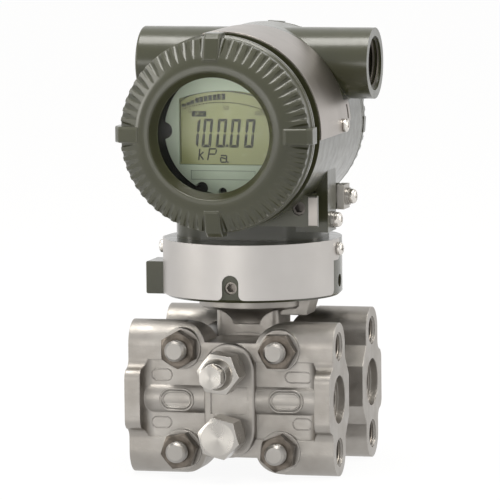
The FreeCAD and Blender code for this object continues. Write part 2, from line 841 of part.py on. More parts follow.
def vent_and_drain(side_name, side):
    """Upper plug with its vent screw, lower plug solid."""
    turned = TO_FRONT if side < 0 else TO_BACK
    seat = flange_centre + boss_face
    under_head = seat + size("plug_collar")
    high = port_height + size("plug_offset")
    low = port_height - size("plug_offset")
    stem_length = size("plug_thread_depth") - 1 + size("plug_collar")
    needle = size("vent_screw_radius")

    def plug(z, length, twist):
        head = chamfered_hexagon(size("plug_flats"), size(length), size("plug_chamfer"),
                                 0, under_head * side, z, turned, twist)
        stem = cylinder(size("plug_thread_radius"), stem_length, 0,
                        (under_head - stem_length) * side, z, *turned)
        return fuse(head, stem)

    vent_face = under_head + size("vent_hexagon") + size("vent_cone")
    collar = vent_face + size("vent_screw_stand_out")
    length = size("vent_screw_length")
    tip = collar - length
    snout = cone(size("plug_flats") / 2 - size("plug_chamfer"), size("vent_cone_radius"),
                 size("vent_cone"), 0, (vent_face - size("vent_cone")) * side, high, *turned)
    drilled = cut(fuse(plug(high, "vent_hexagon", -8), snout),
                  cylinder(needle + size("vent_screw_clearance"), length + 2, 0,
                           tip * side, high, *turned))
    node(drilled, f"{side_name}_vent_plug")
    node(plug(low, "drain_hexagon", -15), f"{side_name}_drain_plug")
    head = chamfered_hexagon(size("vent_screw_flats"), size("vent_screw_head"),
                             size("plug_chamfer") / 3, 0, collar * side, high, turned, 30)
    shaft = cylinder(needle, length, 0, tip * side, high, *turned)
    node(fuse(head, shaft), f"{side_name}_vent_screw")


# ---------------------------------------------------------------- housing


def housing():
    owner = body("housing")
    drum = sketch_on(owner, "XZ_Plane")
    radius = size("drum_radius")
    bevel = size("drum_chamfer")
    spigot_end = spigot_top + size("swivel_gap")
    outline(drum, [
        (swivel_bore, drum_bottom), (radius - bevel, drum_bottom),
        (radius, drum_bottom + bevel), (radius, drum_top),
        (0, drum_top), (0, spigot_end), (swivel_bore, spigot_end),
    ])
    turn(drum)
    shell = sketch_on(owner, "YZ_Plane")
    end = size("barrel_end_width")
    rear_end = size("rear_end_width")
    front = size("barrel_front")
    back = size("barrel_back")
    outline(shell, [
        (-front, 0), (back, 0), (back, size("barrel_end_radius")),
        (back - rear_end, size("barrel_end_radius")), (back - rear_end, size("barrel_radius")),
        (end - front, size("barrel_radius")), (end - front, size("barrel_end_radius")),
        (-front, size("barrel_end_radius")),
    ])
    bind(shell, "AttachmentOffset.Base.y", barrel_height)
    turn(shell, "H_Axis")
    core = sketch_on(owner, "XY_Plane", drum_top - 1)
    rounded_box(core, size("neck_half_width"), size("neck_half_depth"), size("neck_bend"))
    pad(core, size("barrel_lift"))
    cheek_foot = drum_top + size("cheek_foot")
    cheek = sketch_on(owner, "XY_Plane", cheek_foot)
    box_outline(cheek, 0, size("cheek_reach"), -size("cheek_front"), -size("cheek_back"))
    pad(cheek, barrel_height - cheek_foot)
    earth = sketch_on(owner, "YZ_Plane", 0)
    circle(earth, size("earth_offset"), earth_height, size("earth_boss_radius"))
    pad(earth, size("cheek_reach"))
    lock = sketch_on(owner, "XY_Plane", adjuster_boss_top - size("adjuster_boss_height"))
    front_face = size("adjuster_boss_front")
    right_end = size("adjuster_boss_right")
    waist = size("adjuster_boss_waist")
    outline(lock, [
        (size("adjuster_boss_left"), -front_face), (right_end, -front_face),
        (right_end, -front_face + size("plate_thickness") * 3),
        (waist, -front_face + (right_end - waist) * 1.5),
        (waist, -size("cheek_front") + 1),
        (size("adjuster_boss_left"), -size("cheek_front") + 1),
    ])
    pad(lock, size("adjuster_boss_height"))
    tube = sketch_on(owner, "YZ_Plane", -size("conduit_reach"))
    circle(tube, size("conduit_offset"), conduit_height, size("conduit_radius"))
    pad(tube, size("conduit_reach") * 2)
    lug = sketch_on(owner, "YZ_Plane", -size("drum_lug_reach"))
    box_outline(lug, -size("drum_lug_width") / 2, size("drum_lug_width") / 2,
                drum_bottom, drum_bottom + size("drum_lug_height"))
    block_pad = pad(lug, size("drum_lug_reach") - radius * 0.8)
    doc.recompute()
    soften(owner, rim_of(block_pad, lambda point: point.x < 0.1 - size("drum_lug_reach").value),
           size("drum_lug_edge"))
    hollow = [
        (size("barrel_front"), size("thread_bore"), size("thread_bore_depth"), False),
        (size("barrel_front"), size("chamber_bore"),
         size("barrel_front") - size("partition_front"), False),
        (-size("barrel_back"), size("thread_bore"), size("thread_bore_depth"), True),
        (-size("barrel_back"), size("chamber_bore"),
         size("barrel_back") + size("partition_back"), True),
    ]
    for plane, bore_radius, depth, back_side in hollow:
        mouth = sketch_on(owner, "XZ_Plane", plane)
        circle(mouth, 0, barrel_height, bore_radius)
        pocket(mouth, depth, reverse=back_side)
    reach = size("conduit_reach")
    for sign in (1, -1):
        for bore_radius, depth in (
                (size("conduit_bore"), size("conduit_thread_depth")),
                (size("conduit_bore") - size("conduit_chamfer"), size("conduit_way")),
                (size("conduit_bore") + size("conduit_chamfer"), size("conduit_chamfer"))):
            entry = sketch_on(owner, "YZ_Plane", reach * sign)
            circle(entry, size("conduit_offset"), conduit_height, bore_radius)
            pocket(entry, depth, reverse=sign < 0)
    lead_way = sketch_on(owner, "XY_Plane", spigot_end - 1)
    circle(lead_way, 0, -size("lead_way_offset"), size("lead_way_radius"))
    pocket(lead_way, barrel_height - size("lead_way_wall") * 3 - spigot_end + 1, reverse=True)
    for plane in ("XZ_Plane", "YZ_Plane"):
        screw = sketch_on(owner, plane, radius)
        circle(screw, 0, set_screw_height, size("set_screw_radius"))
        pocket(screw, radius - swivel_bore)
    adjuster = sketch_on(owner, "XZ_Plane", front_face)
    circle(adjuster, size("adjuster_offset"), adjuster_boss_top - size("adjuster_drop"),
           size("adjuster_radius") + size("adjuster_clearance"))
    pocket(adjuster, size("adjuster_length") + 2)
    return node(owner, "housing")


# ---------------------------------------------------------------- covers


def turned_cover(name, windowed):
    """Screwed cover before its grip is cut, turned about its own Z axis, with the front
    face up. The joint plane is at its origin."""
    owner = body(name)
    deep = size("cover_depth")
    rim = size("cover_radius")
    ring = size("cover_ring")
    shoulder = size("cover_shoulder")
    bend = size("cover_face_bend")
    bend_height = deep - bend
    slope_top = bend_height + bend * root(as_dim(3)) / 2
    slope_radius = rim - ring - (slope_top - shoulder) * root(as_dim(3))
    face = slope_radius - bend / 2
    low = size("cover_rim")
    profile = sketch_on(owner, "XZ_Plane")
    outer = [
        (size("skirt_inner"), -size("skirt_length")), (size("skirt_radius"), -size("skirt_length")),
        (size("skirt_radius"), 0), (rim, 0), (rim, low),
        (rim - ring, low + ring / 2), (rim - ring, low + ring), (rim, low + ring * 1.5),
        (rim, low + ring * 3), (rim - ring, low + ring * 4),
        (rim - ring, shoulder), (slope_radius, slope_top, (face, bend_height)), (face, deep),
    ]
    if windowed:
        front = size("window_front_radius")
        lip = size("window_radius")
        bevel = size("window_edge")
        seat = deep - size("window_lip")
        ledge = seat - size("glass_gasket") - 0.2
        pocket_radius = size("glass_radius") + size("glass_play")
        inner = [
            (front + bevel, deep, (front + bevel, deep - bevel)), (front, deep - bevel),
            (lip, seat), (lip, ledge), (pocket_radius, ledge),
            (pocket_radius, -1), (size("skirt_inner"), -1),
        ]
    else:
        wall = size("cover_wall")
        middle = face * 0.8
        inner = [
            (middle, deep), (0, deep + 0.8), (0, deep - wall), (middle, deep - wall),
            (size("skirt_inner"), deep - wall * 2),
        ]
    outline(profile, outer + inner)
    turn(profile)
    return owner, slope_radius, slope_top


def flutes(name, slope_radius, slope_top):
    """The ring of round cutters that leaves the cover's grip. Each starts level with the
    shoulder and dives a little more steeply than it, so a flute deepens outwards."""
    owner = body(name)
    radius = size("flute_radius")
    cutter = sketch_on(owner, "XY_Plane")
    cutter.AttachmentOffset = FreeCAD.Placement(
        FreeCAD.Vector(0, 0, 0), FreeCAD.Rotation(FreeCAD.Vector(0, 1, 0), 127.5))
    bind(cutter, "AttachmentOffset.Base.x", slope_radius + radius / 2)
    bind(cutter, "AttachmentOffset.Base.z", slope_top + radius * root(as_dim(3)) / 2)
    circle(cutter, 0, 0, radius)
    one = pad(cutter, (size("cover_radius") - slope_radius) * root(as_dim(2)))
    doc.recompute()
    repeat(owner, one, "Z_Axis", size("flute_count"))
    return owner


def lug(name, outer, drop, angle):
    """One grip lug that stands out of the cover's shoulder, its edges cast round."""
    owner = body(name)
    deep = size("cover_depth")
    half_lug = size("lug_width") / 2
    plan = sketch_on(owner, "XZ_Plane", -half_lug)
    low = size("cover_rim") + size("cover_ring")
    outline(plan, [
        (size("lug_inner"), deep - 3), (size("lug_inner"), deep + 0.2),
        (outer - drop * 0.4, deep - drop * 0.5), (outer, deep - drop),
        (outer, low), (outer - 3.5, low),
    ])
    block_pad = pad(plan, size("lug_width"))
    doc.recompute()
    outside = edges_like(block_pad.Shape, lambda edge: all(
        vertex.Point.z > low.value + 0.1
        and (vertex.Point.z > deep.value or vertex.Point.x > size("lug_inner").value + 0.1)
        for vertex in edge.Vertexes))
    soften(owner, outside, size("lug_edge"))
    return place(owner, angle=angle)


def finished_cover(name, side, windowed):
    turned = TO_FRONT if side < 0 else TO_BACK
    plane = -cover_plane if side < 0 else rear_cover_plane
    shell, slope_radius, slope_top = turned_cover(name + "_turning", windowed)
    kind = "" if windowed else "rear_"
    outer, drop = size(kind + "lug_outer"), size(kind + "lug_drop")
    gripped = cut(shell, flutes(name + "_flutes", slope_radius, slope_top))
    grips = [lug(f"{name}_lug_{angle}", outer, drop, angle) for angle in (0, 90, 180, 270)]
    whole = fuse(gripped, *grips)
    place(whole, 0, plane, barrel_height, *turned,
          0 if windowed else size("rear_cover_turn").value)
    return node(whole, name)


def cover_parts():
    finished_cover("front_cover", -1, True)
    finished_cover("rear_cover", 1, False)
    section = size("cover_seal_section")
    middle = size("thread_bore") - section - 0.4
    for name, plane, side in (("front_cover_seal", -size("barrel_front"), 1),
                              ("rear_cover_seal", size("barrel_back"), -1)):
        inset = (size("skirt_length") - size("cover_gap") + size("thread_bore_depth")) / 2
        node(torus(middle, section, 0, plane + inset * side, barrel_height, *TO_FRONT), name)
    gasket = size("glass_gasket")
    glass = size("glass_thickness")
    retainer = size("retainer_thickness")
    under_lip = cover_plane + size("cover_depth") - size("window_lip") - gasket - 0.2

    def behind(depth):
        return depth - under_lip

    node(ring_solid(size("glass_radius"), size("window_radius") + 1.2, gasket, 0,
                    behind(gasket), barrel_height, *TO_FRONT), "window_gasket")
    node(cylinder(size("glass_radius"), glass, 0, behind(gasket + glass), barrel_height,
                  *TO_FRONT), "window_glass")
    node(ring_solid(size("glass_radius"), size("retainer_inner"), retainer, 0,
                    behind(gasket + glass + retainer), barrel_height, *TO_FRONT),
         "window_retainer")


# ---------------------------------------------------------------- indicator, electronics


def display_outline(sketch, grow):
    """Flat-bottomed field with a shallow arched top."""
    x = size("display_half_width") + grow
    low = barrel_height - size("display_drop") - grow
    shoulder = barrel_height + size("display_rise") + grow
    sag = size("display_crown")
    arch = (x * x + sag * sag) / (sag * 2)
    outline(sketch, [(-x, low), (x, low), (x, shoulder, (0, shoulder + sag - arch)),
                     (-x, shoulder)])


def indicator():
    front = size("bezel_front")
    bezel = body("indicator_bezel")
    back = front - size("bezel_thickness")
    face = sketch_on(bezel, "XZ_Plane", back)
    circle(face, 0, barrel_height, size("bezel_radius"))
    pad(face, size("bezel_thickness"))
    opening = sketch_on(bezel, "XZ_Plane", front)
    display_outline(opening, 0)
    pocket(opening, size("bezel_thickness"))
    for x, rise, radius in ((-25.0, 0.0, 3.3), (-10.0, -22.2, 2.4), (-1.7, -23.5, 1.6)):
        hole = sketch_on(bezel, "XZ_Plane", front)
        circle(hole, x, barrel_height + rise, radius)
        pocket(hole, size("bezel_thickness"))
    node(bezel, "indicator_bezel")
    board_front = back - size("carrier_thickness")
    carrier = body("indicator_carrier")
    ground = sketch_on(carrier, "XZ_Plane", board_front)
    circle(ground, 0, barrel_height, size("board_radius"))
    pad(ground, size("carrier_thickness"))
    window = sketch_on(carrier, "XZ_Plane", back)
    display_outline(window, 0)
    pocket(window, size("carrier_thickness"))
    node(carrier, "indicator_carrier")
    panel = body("lcd_panel")
    glass = sketch_on(panel, "XZ_Plane", board_front)
    display_outline(glass, -size("display_play"))
    pad(glass, front - size("display_recess") - board_front)
    node(panel, "lcd_panel")
    board_back = board_front - size("board_thickness")
    node(cylinder(size("board_radius"), size("board_thickness"), 0, -board_back,
                  barrel_height, *TO_FRONT), "indicator_board")
    wall = size("can_wall")
    depth = board_back - size("can_back")
    can = cut(cylinder(size("can_radius"), depth, 0, -size("can_back"), barrel_height, *TO_FRONT),
              cylinder(size("can_radius") - wall, depth - wall, 0, -size("can_back") - wall,
                       barrel_height, *TO_FRONT))
    node(can, "amplifier_frame")
    board_y = -(size("can_back") + wall + size("amplifier_gap"))
    node(cylinder(size("can_radius") - wall, size("board_thickness"), 0, board_y,
                  barrel_height, *TO_FRONT), "amplifier_board")
    module = size("module_half")
    node(block(-module, module, board_y, board_y + size("module_depth"),
               barrel_height - size("module_height") / 2,
               barrel_height + size("module_height") / 2), "amplifier_module")


def terminals():
    half = size("terminal_width") / 2
    front = -size("partition_back")
    back = size("terminal_back")
    step = size("terminal_step")
    low = barrel_height - size("terminal_drop")
    high = barrel_height + size("terminal_rise")
    step_top = low + size("terminal_step_height")
    seat = back - step + 1
    rails = [block(-half, half, front, seat, low, high),
             block(-half, half, seat - 1, back, low, step_top)]
    pitch = size("terminal_pitch")
    fence = size("terminal_fence") / 2
    count = int(SIZES["terminal_count"])
    for index in range(count + 1):
        x = pitch * (index - count / 2)
        rails.append(block(x - fence, x + fence, seat - 1, back - 1.5, step_top - 1, high))
    node(fuse(*rails), "terminal_block")
    screws = []
    clamps = []
    z = (step_top + high) / 2
    reach = size("clamp_width") / 2
    tall = size("clamp_height") / 2
    thick = size("clamp_thickness")
    for index in range(count):
        x = pitch * (index - (count - 1) / 2)
        clamps.append(block(x - reach, x + reach, seat, seat + thick, z - tall, z + tall))
        screws.append(cylinder(size("pan_screw_radius"), 2.4, x, seat + thick, z, *TO_BACK))
    node(group(*clamps), "terminal_clamps")
    node(group(*screws), "terminal_screws")
    node(cylinder(3.4, 2.2, -half * 0.6, front, low - 5, *TO_BACK), "inner_earth_screw")


# ---------------------------------------------------------------- plates and screws


def wrap_plate(name, radius, start, end, length):
    """Thin plate bent round a drum, in a frame whose Z runs along the drum; start and
    end are angles from +X, anticlockwise."""
    owner = body(name)
    arc = sketch_on(owner, "XY_Plane")
    outer = radius + size("plate_thickness")
    outline(arc, [
        (outer * cosine(start), outer * sine(start), (0, 0)),
        (outer * cosine(end), outer * sine(end)),
        (radius * cosine(end), radius * sine(end), (0, 0, "clockwise")),
        (radius * cosine(start), radius * sine(start)),
    ])
    pad(arc, length)
    return owner


def trim(owner, corners):
    """Cuts an outline, seen from the side, through the whole width of a bent plate."""
    span = size("barrel_radius") + 2
    side_view = sketch_on(owner, "YZ_Plane", -span)
    outline(side_view, corners)
    pocket(side_view, span * 2, reverse=True)


def drum_nameplate():
    angle = size("drum_ear_angle")
    radius = size("drum_radius")
    low = drum_bottom + size("drum_plate_margin")
    height = drum_top - low
    owner = wrap_plate("drum_nameplate", radius, -90 - angle, angle - 90, height)
    end = -radius * cosine(size("drum_plate_angle"))
    tip = -radius * cosine(angle)
    bend = size("drum_plate_corner")
    ear = height - size("drum_ear_height")
    trim(owner, [
        (end - bend, -1), (1, -1), (1, ear + bend),
        (tip, ear + bend, (tip - bend, ear + bend, "clockwise")), (tip - bend, ear),
        (end, ear), (end, bend, (end - bend, bend, "clockwise")), (end - bend, 0),
    ])
    gap = sketch_on(owner, "XZ_Plane", radius + 2)
    half = size("notch_width") / 2
    rise = size("notch_rise") - size("drum_plate_margin") - half
    flare = size("notch_flare")
    outline(gap, [
        (-half - flare, -1), (half + flare, -1),
        (half + flare, 0, (half + flare, flare, "clockwise")),
        (half, flare), (half, rise, (0, rise)), (-half, rise),
        (-half, flare, (-half - flare, flare, "clockwise")), (-half - flare, 0),
    ])
    pocket(gap, 5)
    place(owner, 0, 0, low)
    return node(owner, "drum_nameplate")


def data_plate():
    """Plate round the right of the barrel, with a slotted tab under the conduit tube.
    Its own Z runs forward from the tab's edge, its own Y up from the barrel's axis."""
    tab = size("data_tab_back") + size("data_plate_back")
    owner = wrap_plate("data_plate", size("barrel_radius"),
                       size("data_plate_low"), size("data_plate_high"),
                       size("data_plate_front") + size("data_tab_back"))
    beyond = size("barrel_radius") + 2
    low = size("data_tab_low")
    trim(owner, [(size("data_tab_high"), -1), (beyond, -1), (beyond, tab),
                 (size("data_tab_high"), tab)])
    bend = tab / 4
    trim(owner, [(-beyond, -1), (low + bend, -1),
                 (low + bend, 0, (low + bend, bend, "clockwise")),
                 (low, bend), (low, tab), (-beyond, tab)])
    slot_start = size("data_tab_back") - size("data_slot_width")
    trim(owner, [(size("data_slot_low"), slot_start), (size("data_slot_high"), slot_start),
                 (size("data_slot_high"), slot_start + size("data_slot_width")),
                 (size("data_slot_low"), slot_start + size("data_slot_width"))])
    place(owner, 0, size("data_tab_back"), barrel_height, *TO_FRONT)
    node(owner, "data_plate")
    node(pan_screw(size("barrel_radius") + size("plate_thickness"), -size("data_screw_place"),
                   barrel_height, TO_RIGHT), "data_plate_screw")


def pan_screw(x, y, z, turned, radius=size("pan_screw_radius"), height=size("pan_screw_head")):
    """Head of a small screw: a short band with a domed top."""
    band = height / 2
    top = as_dim(x) + band if turned == TO_RIGHT else x
    return fuse(cylinder(radius, band, x, y, z, *turned),
                cone(radius, radius * 0.62, band, top, y, z, *turned))


def drum_screws():
    """Two pan screws, level with the neck axis, that hold the plate by its ears."""
    radius = size("drum_radius") + size("plate_thickness")
    degrees = SIZES["drum_screw_angle"]
    angle = size("drum_screw_angle")
    heads = []
    for side in (1, -1):
        band = size("pan_screw_head") / 2
        out = FreeCAD.Rotation(FreeCAD.Vector(0, 0, 1), degrees * side) * FreeCAD.Rotation(
            FreeCAD.Vector(1, 0, 0), 90)
        for radial, shape in (
                (radius, cylinder(size("pan_screw_radius"), band)),
                (radius + band, cone(size("pan_screw_radius"),
                                     size("pan_screw_radius") * 0.62, band))):
            shape.Placement = FreeCAD.Placement(FreeCAD.Vector(0, 0, 0), out)
            for letter, dim in zip("xyz", (radial * sine(angle) * side, -radial * cosine(angle),
                                           drum_top - size("drum_screw_drop"))):
                bind(shape, f"Placement.Base.{letter}", dim)
            heads.append(shape)
    node(group(fuse(*heads[:2]), fuse(*heads[2:])), "drum_plate_screws")


def neck_parts():
    thread = size("set_screw_radius")
    start = swivel_bore + 6
    length = size("drum_radius") - start - 1
    key = size("adjuster_key")
    screws = [cut(cylinder(thread, length, 0, -start, set_screw_height, *TO_FRONT),
                  hexagon(key, 3, 0, 3 - start - length, set_screw_height, *TO_FRONT)),
              cut(cylinder(thread, length, start, 0, set_screw_height, *TO_RIGHT),
                  hexagon(key, 3, start + length - 3, 0, set_screw_height, *TO_RIGHT))]
    node(group(*screws), "neck_set_screws")
    section = size("seal_section")
    node(torus(size("spigot_radius") - section, section, 0, 0, seal_height), "neck_seal")
    floor = spigot_top - size("header_depth")
    node(cylinder(size("header_radius"), size("header_thickness"), 0, 0, floor), "sensor_header")
    count = int(SIZES["pin_count"])
    pins = []
    for index in range(count):
        angle = as_dim(360 / count * index)
        pins.append(cylinder(size("pin_radius"), size("pin_reach"),
                             cosine(angle) * size("pin_circle"), sine(angle) * size("pin_circle"),
                             floor + size("header_thickness")))
    node(group(*pins), "sensor_pins")


def adjuster():
    front = -size("adjuster_boss_front")
    recess = size("adjuster_recess")
    x = size("adjuster_offset")
    z = adjuster_boss_top - size("adjuster_drop")
    length = size("adjuster_length")
    key = size("adjuster_key")
    screw = cylinder(size("adjuster_radius"), length, x, front + recess + length, z, *TO_FRONT)
    node(cut(screw, hexagon(key, key, x, front + recess + key, z, *TO_FRONT)), "zero_adjust_screw")
    right = size("adjuster_boss_right")
    margin = size("plate_thickness")
    node(block(right - 3.6, right, front - margin, front,
               adjuster_boss_top - size("adjuster_boss_height") + margin,
               adjuster_boss_top - margin), "adjuster_plate")


def side_terminals():
    """Outer earth terminal and the spare screw, both on the right of the neck."""
    face = size("cheek_reach")
    washer = size("washer_thickness")
    y = size("earth_offset")
    wide = size("earth_clamp_width") / 2
    tall = size("earth_clamp_height") / 2
    clamp = size("earth_clamp_thickness")
    node(block(face, face + clamp, y - wide, y + wide, earth_height - tall, earth_height + tall),
         "earth_clamp")
    seat = face + clamp
    radius = size("earth_washer_radius")
    node(cylinder(radius, washer * 2, seat, y, earth_height, *TO_RIGHT), "earth_washer")
    head = (size("terminal_head_radius"), size("terminal_head"))
    node(pan_screw(seat + washer * 2, y, earth_height, TO_RIGHT, *head), "earth_screw")
    y = -(size("cheek_front") + size("cheek_back")) / 2
    z = barrel_height - size("cheek_screw_drop")
    node(cylinder(size("cheek_washer_radius"), washer * 2, face, y, z, *TO_RIGHT), "cheek_washer")
    node(pan_screw(face + washer * 2, y, z, TO_RIGHT, *head), "cheek_screw")


# ---------------------------------------------------------------- the whole

capsule()
process_flange("high_side_flange", -1)
process_flange("low_side_flange", 1)
for side_name, side in (("high_side", -1), ("low_side", 1)):
    diaphragm(f"{side_name}_diaphragm", side)
    capsule_gasket(f"{side_name}_gasket", side)
    vent_and_drain(side_name, side)
bolts_and_nuts()
housing()
cover_parts()
indicator()
terminals()
drum_nameplate()
data_plate()
drum_screws()
neck_parts()
adjuster()
side_terminals()
doc.recompute()

bad = [f"{thing.Label}: {thing.State}" for thing in doc.Objects
       if "Invalid" in thing.State or "Error" in thing.State]
for part in NODES:
    if part.Shape.isNull() or not part.Shape.isValid() or not part.Shape.Solids:
        bad.append(f"{part.Label}: no valid solid")
if bad:
    raise RuntimeError("; ".join(bad))

os.makedirs("parts", exist_ok=True)
for part in NODES:
    part.Shape.exportStep(f"parts/{part.Label}.step")
    box = part.Shape.BoundBox
    print(f"{part.Label}: {len(part.Shape.Solids)} solids, volume {part.Shape.Volume:.0f}, "
          f"x {box.XMin:.1f}..{box.XMax:.1f} y {box.YMin:.1f}..{box.YMax:.1f} "
          f"z {box.ZMin:.1f}..{box.ZMax:.1f}")
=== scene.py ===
# %% [markdown]
# # Differential pressure transmitter
#
# A field instrument that measures the difference between two pressures. Two cast flanges
# clamp a measuring capsule, and a painted housing with a display stands on its neck. The
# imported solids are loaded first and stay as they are, because they say where everything
# goes and what moves. This lesson then gives every piece its finish and builds the fine
# pieces that the solids leave out: the marks on the display, the threads, the recesses in
# screw heads and the ovals cast on the flanges. Bump alone could hint at them, but a real
# mesh keeps its outline from every side.

# %% Load the solids
import json
import math
import bpy
import bmesh
from mathutils import Matrix, Vector


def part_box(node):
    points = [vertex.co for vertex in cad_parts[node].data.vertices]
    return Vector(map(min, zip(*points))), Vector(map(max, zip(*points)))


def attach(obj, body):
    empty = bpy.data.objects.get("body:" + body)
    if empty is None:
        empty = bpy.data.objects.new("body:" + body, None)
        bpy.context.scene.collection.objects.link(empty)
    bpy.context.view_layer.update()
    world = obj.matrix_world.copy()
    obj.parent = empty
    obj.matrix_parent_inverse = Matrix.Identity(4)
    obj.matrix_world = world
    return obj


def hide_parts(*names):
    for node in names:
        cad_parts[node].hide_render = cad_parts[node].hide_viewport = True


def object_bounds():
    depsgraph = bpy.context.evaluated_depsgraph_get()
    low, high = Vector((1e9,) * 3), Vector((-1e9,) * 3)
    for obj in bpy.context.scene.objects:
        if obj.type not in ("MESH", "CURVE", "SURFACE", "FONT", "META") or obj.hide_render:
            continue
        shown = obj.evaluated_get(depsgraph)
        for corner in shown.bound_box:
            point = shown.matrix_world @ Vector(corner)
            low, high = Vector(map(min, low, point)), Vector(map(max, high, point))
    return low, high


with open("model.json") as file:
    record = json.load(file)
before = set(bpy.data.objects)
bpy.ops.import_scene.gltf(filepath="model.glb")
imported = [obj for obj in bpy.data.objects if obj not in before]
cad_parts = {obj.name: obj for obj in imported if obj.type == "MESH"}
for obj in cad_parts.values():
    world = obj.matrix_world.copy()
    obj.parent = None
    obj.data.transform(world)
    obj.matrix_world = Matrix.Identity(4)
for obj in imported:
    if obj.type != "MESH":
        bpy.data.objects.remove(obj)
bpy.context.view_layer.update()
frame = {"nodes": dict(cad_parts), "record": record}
nodes = frame["nodes"]
MM = 0.001

# %% [markdown]
# ## Camera
#
# The instrument is seen from its indicator side, a little from the right and from above.
# A long lens from far away keeps the upright edges nearly parallel, which suits a small
# product. A tracking constraint could aim the camera, but it leaves no place for the
# small roll, so the three axes are worked out from three angles and written as a matrix.

# %% Camera
CAMERA_TURN = math.radians(14.94)
CAMERA_RISE = math.radians(6.14)
CAMERA_ROLL = math.radians(-0.62)
CAMERA_DISTANCE = 2.2538
CAMERA_LENS = 412.4
CAMERA_SENSOR = 36
CAMERA_RANGE = (0.05, 50)
LOOK_AT = Vector((-0.0013, 0.0, 0.08476))

back = Vector((math.sin(CAMERA_TURN) * math.cos(CAMERA_RISE),
               -math.cos(CAMERA_TURN) * math.cos(CAMERA_RISE), math.sin(CAMERA_RISE)))
level_right = Vector((math.cos(CAMERA_TURN), math.sin(CAMERA_TURN), 0))
level_up = back.cross(level_right)
right = level_right * math.cos(CAMERA_ROLL) + level_up * math.sin(CAMERA_ROLL)
up = level_up * math.cos(CAMERA_ROLL) - level_right * math.sin(CAMERA_ROLL)

camera_data = bpy.data.cameras.new("camera")
camera = bpy.data.objects.new("camera", camera_data)
bpy.context.scene.collection.objects.link(camera)
camera_data.lens = CAMERA_LENS
camera_data.sensor_width = CAMERA_SENSOR
camera_data.clip_start, camera_data.clip_end = CAMERA_RANGE
camera.matrix_world = Matrix((
    (right.x, up.x, back.x, LOOK_AT.x + back.x * CAMERA_DISTANCE),
    (right.y, up.y, back.y, LOOK_AT.y + back.y * CAMERA_DISTANCE),
    (right.z, up.z, back.z, LOOK_AT.z + back.z * CAMERA_DISTANCE),
    (0, 0, 0, 1)))
bpy.context.scene.camera = camera
bpy.context.scene.view_settings.view_transform = "Standard"
print("camera at", camera.location)

# %% [markdown]
# ## Lamps
#
# The enamel and the polished steel show what they mirror, so the lamps are large panels,
# as in a light tent. One stands at each side, a broad one hangs overhead, and a small one
# low in front draws the bright band on the plate round the neck. Point lamps would leave
# hard specks on every bolt. Each panel turns its own -Z axis to the place it lights.

# %% Lamps
BODY_CENTRE = (0, 0, 0.1)
NECK_CENTRE = (0, 0, 0.07)
PANELS = (
    # name, place, aim, width, height, watts, colour
    ("left_panel", (-1.15, -0.6, 0.45), BODY_CENTRE, 0.35, 0.8, 5.0, (1, 0.97, 0.92)),
    ("right_panel", (1.2, 0.35, 0.5), BODY_CENTRE, 0.4, 0.7, 4.0, (1, 0.95, 0.88)),
    ("top_panel", (0.0, -0.2, 1.15), BODY_CENTRE, 0.9, 0.5, 13.0, (1, 0.98, 0.94)),
    ("front_panel", (-0.3, -1.5, 0.16), NECK_CENTRE, 0.6, 0.35, 2.2, (1, 0.98, 0.95)),
)
for name, place, aim, width, height, watts, colour in PANELS:
    light = bpy.data.lights.new(name, "AREA")
    light.shape = "RECTANGLE"
    light.size, light.size_y = width, height
    light.energy = watts
    light.color = colour
    lamp = bpy.data.objects.new(name, light)
    bpy.context.scene.collection.objects.link(lamp)
    lamp.location = place
    toward = Vector(aim) - Vector(place)
    lamp.rotation_euler = toward.to_track_quat("-Z", "Y").to_euler()
print("panels", len(PANELS))

# %% [markdown]
# ## One call for one node
#
# Every finish and the background are graphs of nodes. Written out, each node takes a line
# to add it, one for every number and one for every link. One helper does all three, so
# that a graph reads as a list of what it does.

# %% Node helper


def add_node(tree, kind, links=None, values=None, **settings):
    """Adds a node: settings are its properties, values its numbers, links its sources."""
    made = tree.nodes.new(kind)
    for name, value in settings.items():
        setattr(made, name, value)
    for socket, value in (values or {}).items():
        made.inputs[socket].default_value = value
    for socket, source in (links or {}).items():
        tree.links.new(source, made.inputs[socket])
    return made


def seen_rays(tree):
    """1 for rays that show the background: from the camera, a mirror or through glass."""
    path = add_node(tree, "ShaderNodeLightPath").outputs
    seen = path["Is Camera Ray"]
    for other in ("Is Glossy Ray", "Is Transmission Ray"):
        seen = add_node(tree, "ShaderNodeMath", {0: seen, 1: path[other]},
                        operation="MAXIMUM").outputs[0]
    return seen


print("node helper ready")

# %% [markdown]
# ## Sky
#
# A studio is bright overhead and dimmer near the floor. The same fall in the sky lights
# the tops of the castings more than their sides. A stored panorama could do it, but a
# ramp over the height of the direction needs no file. Rays that see the background, also
# in a mirror or through glass, get plain white in place of the ramp.

# %% Sky
SKY_FOOT = (0.0, (0.72, 0.695, 0.66, 1))
SKY_LOW = (0.22, (0.80, 0.775, 0.74, 1))
SKY_TOP = (0.8, (1.0, 0.985, 0.95, 1))
WHITE = (1, 1, 1, 1)

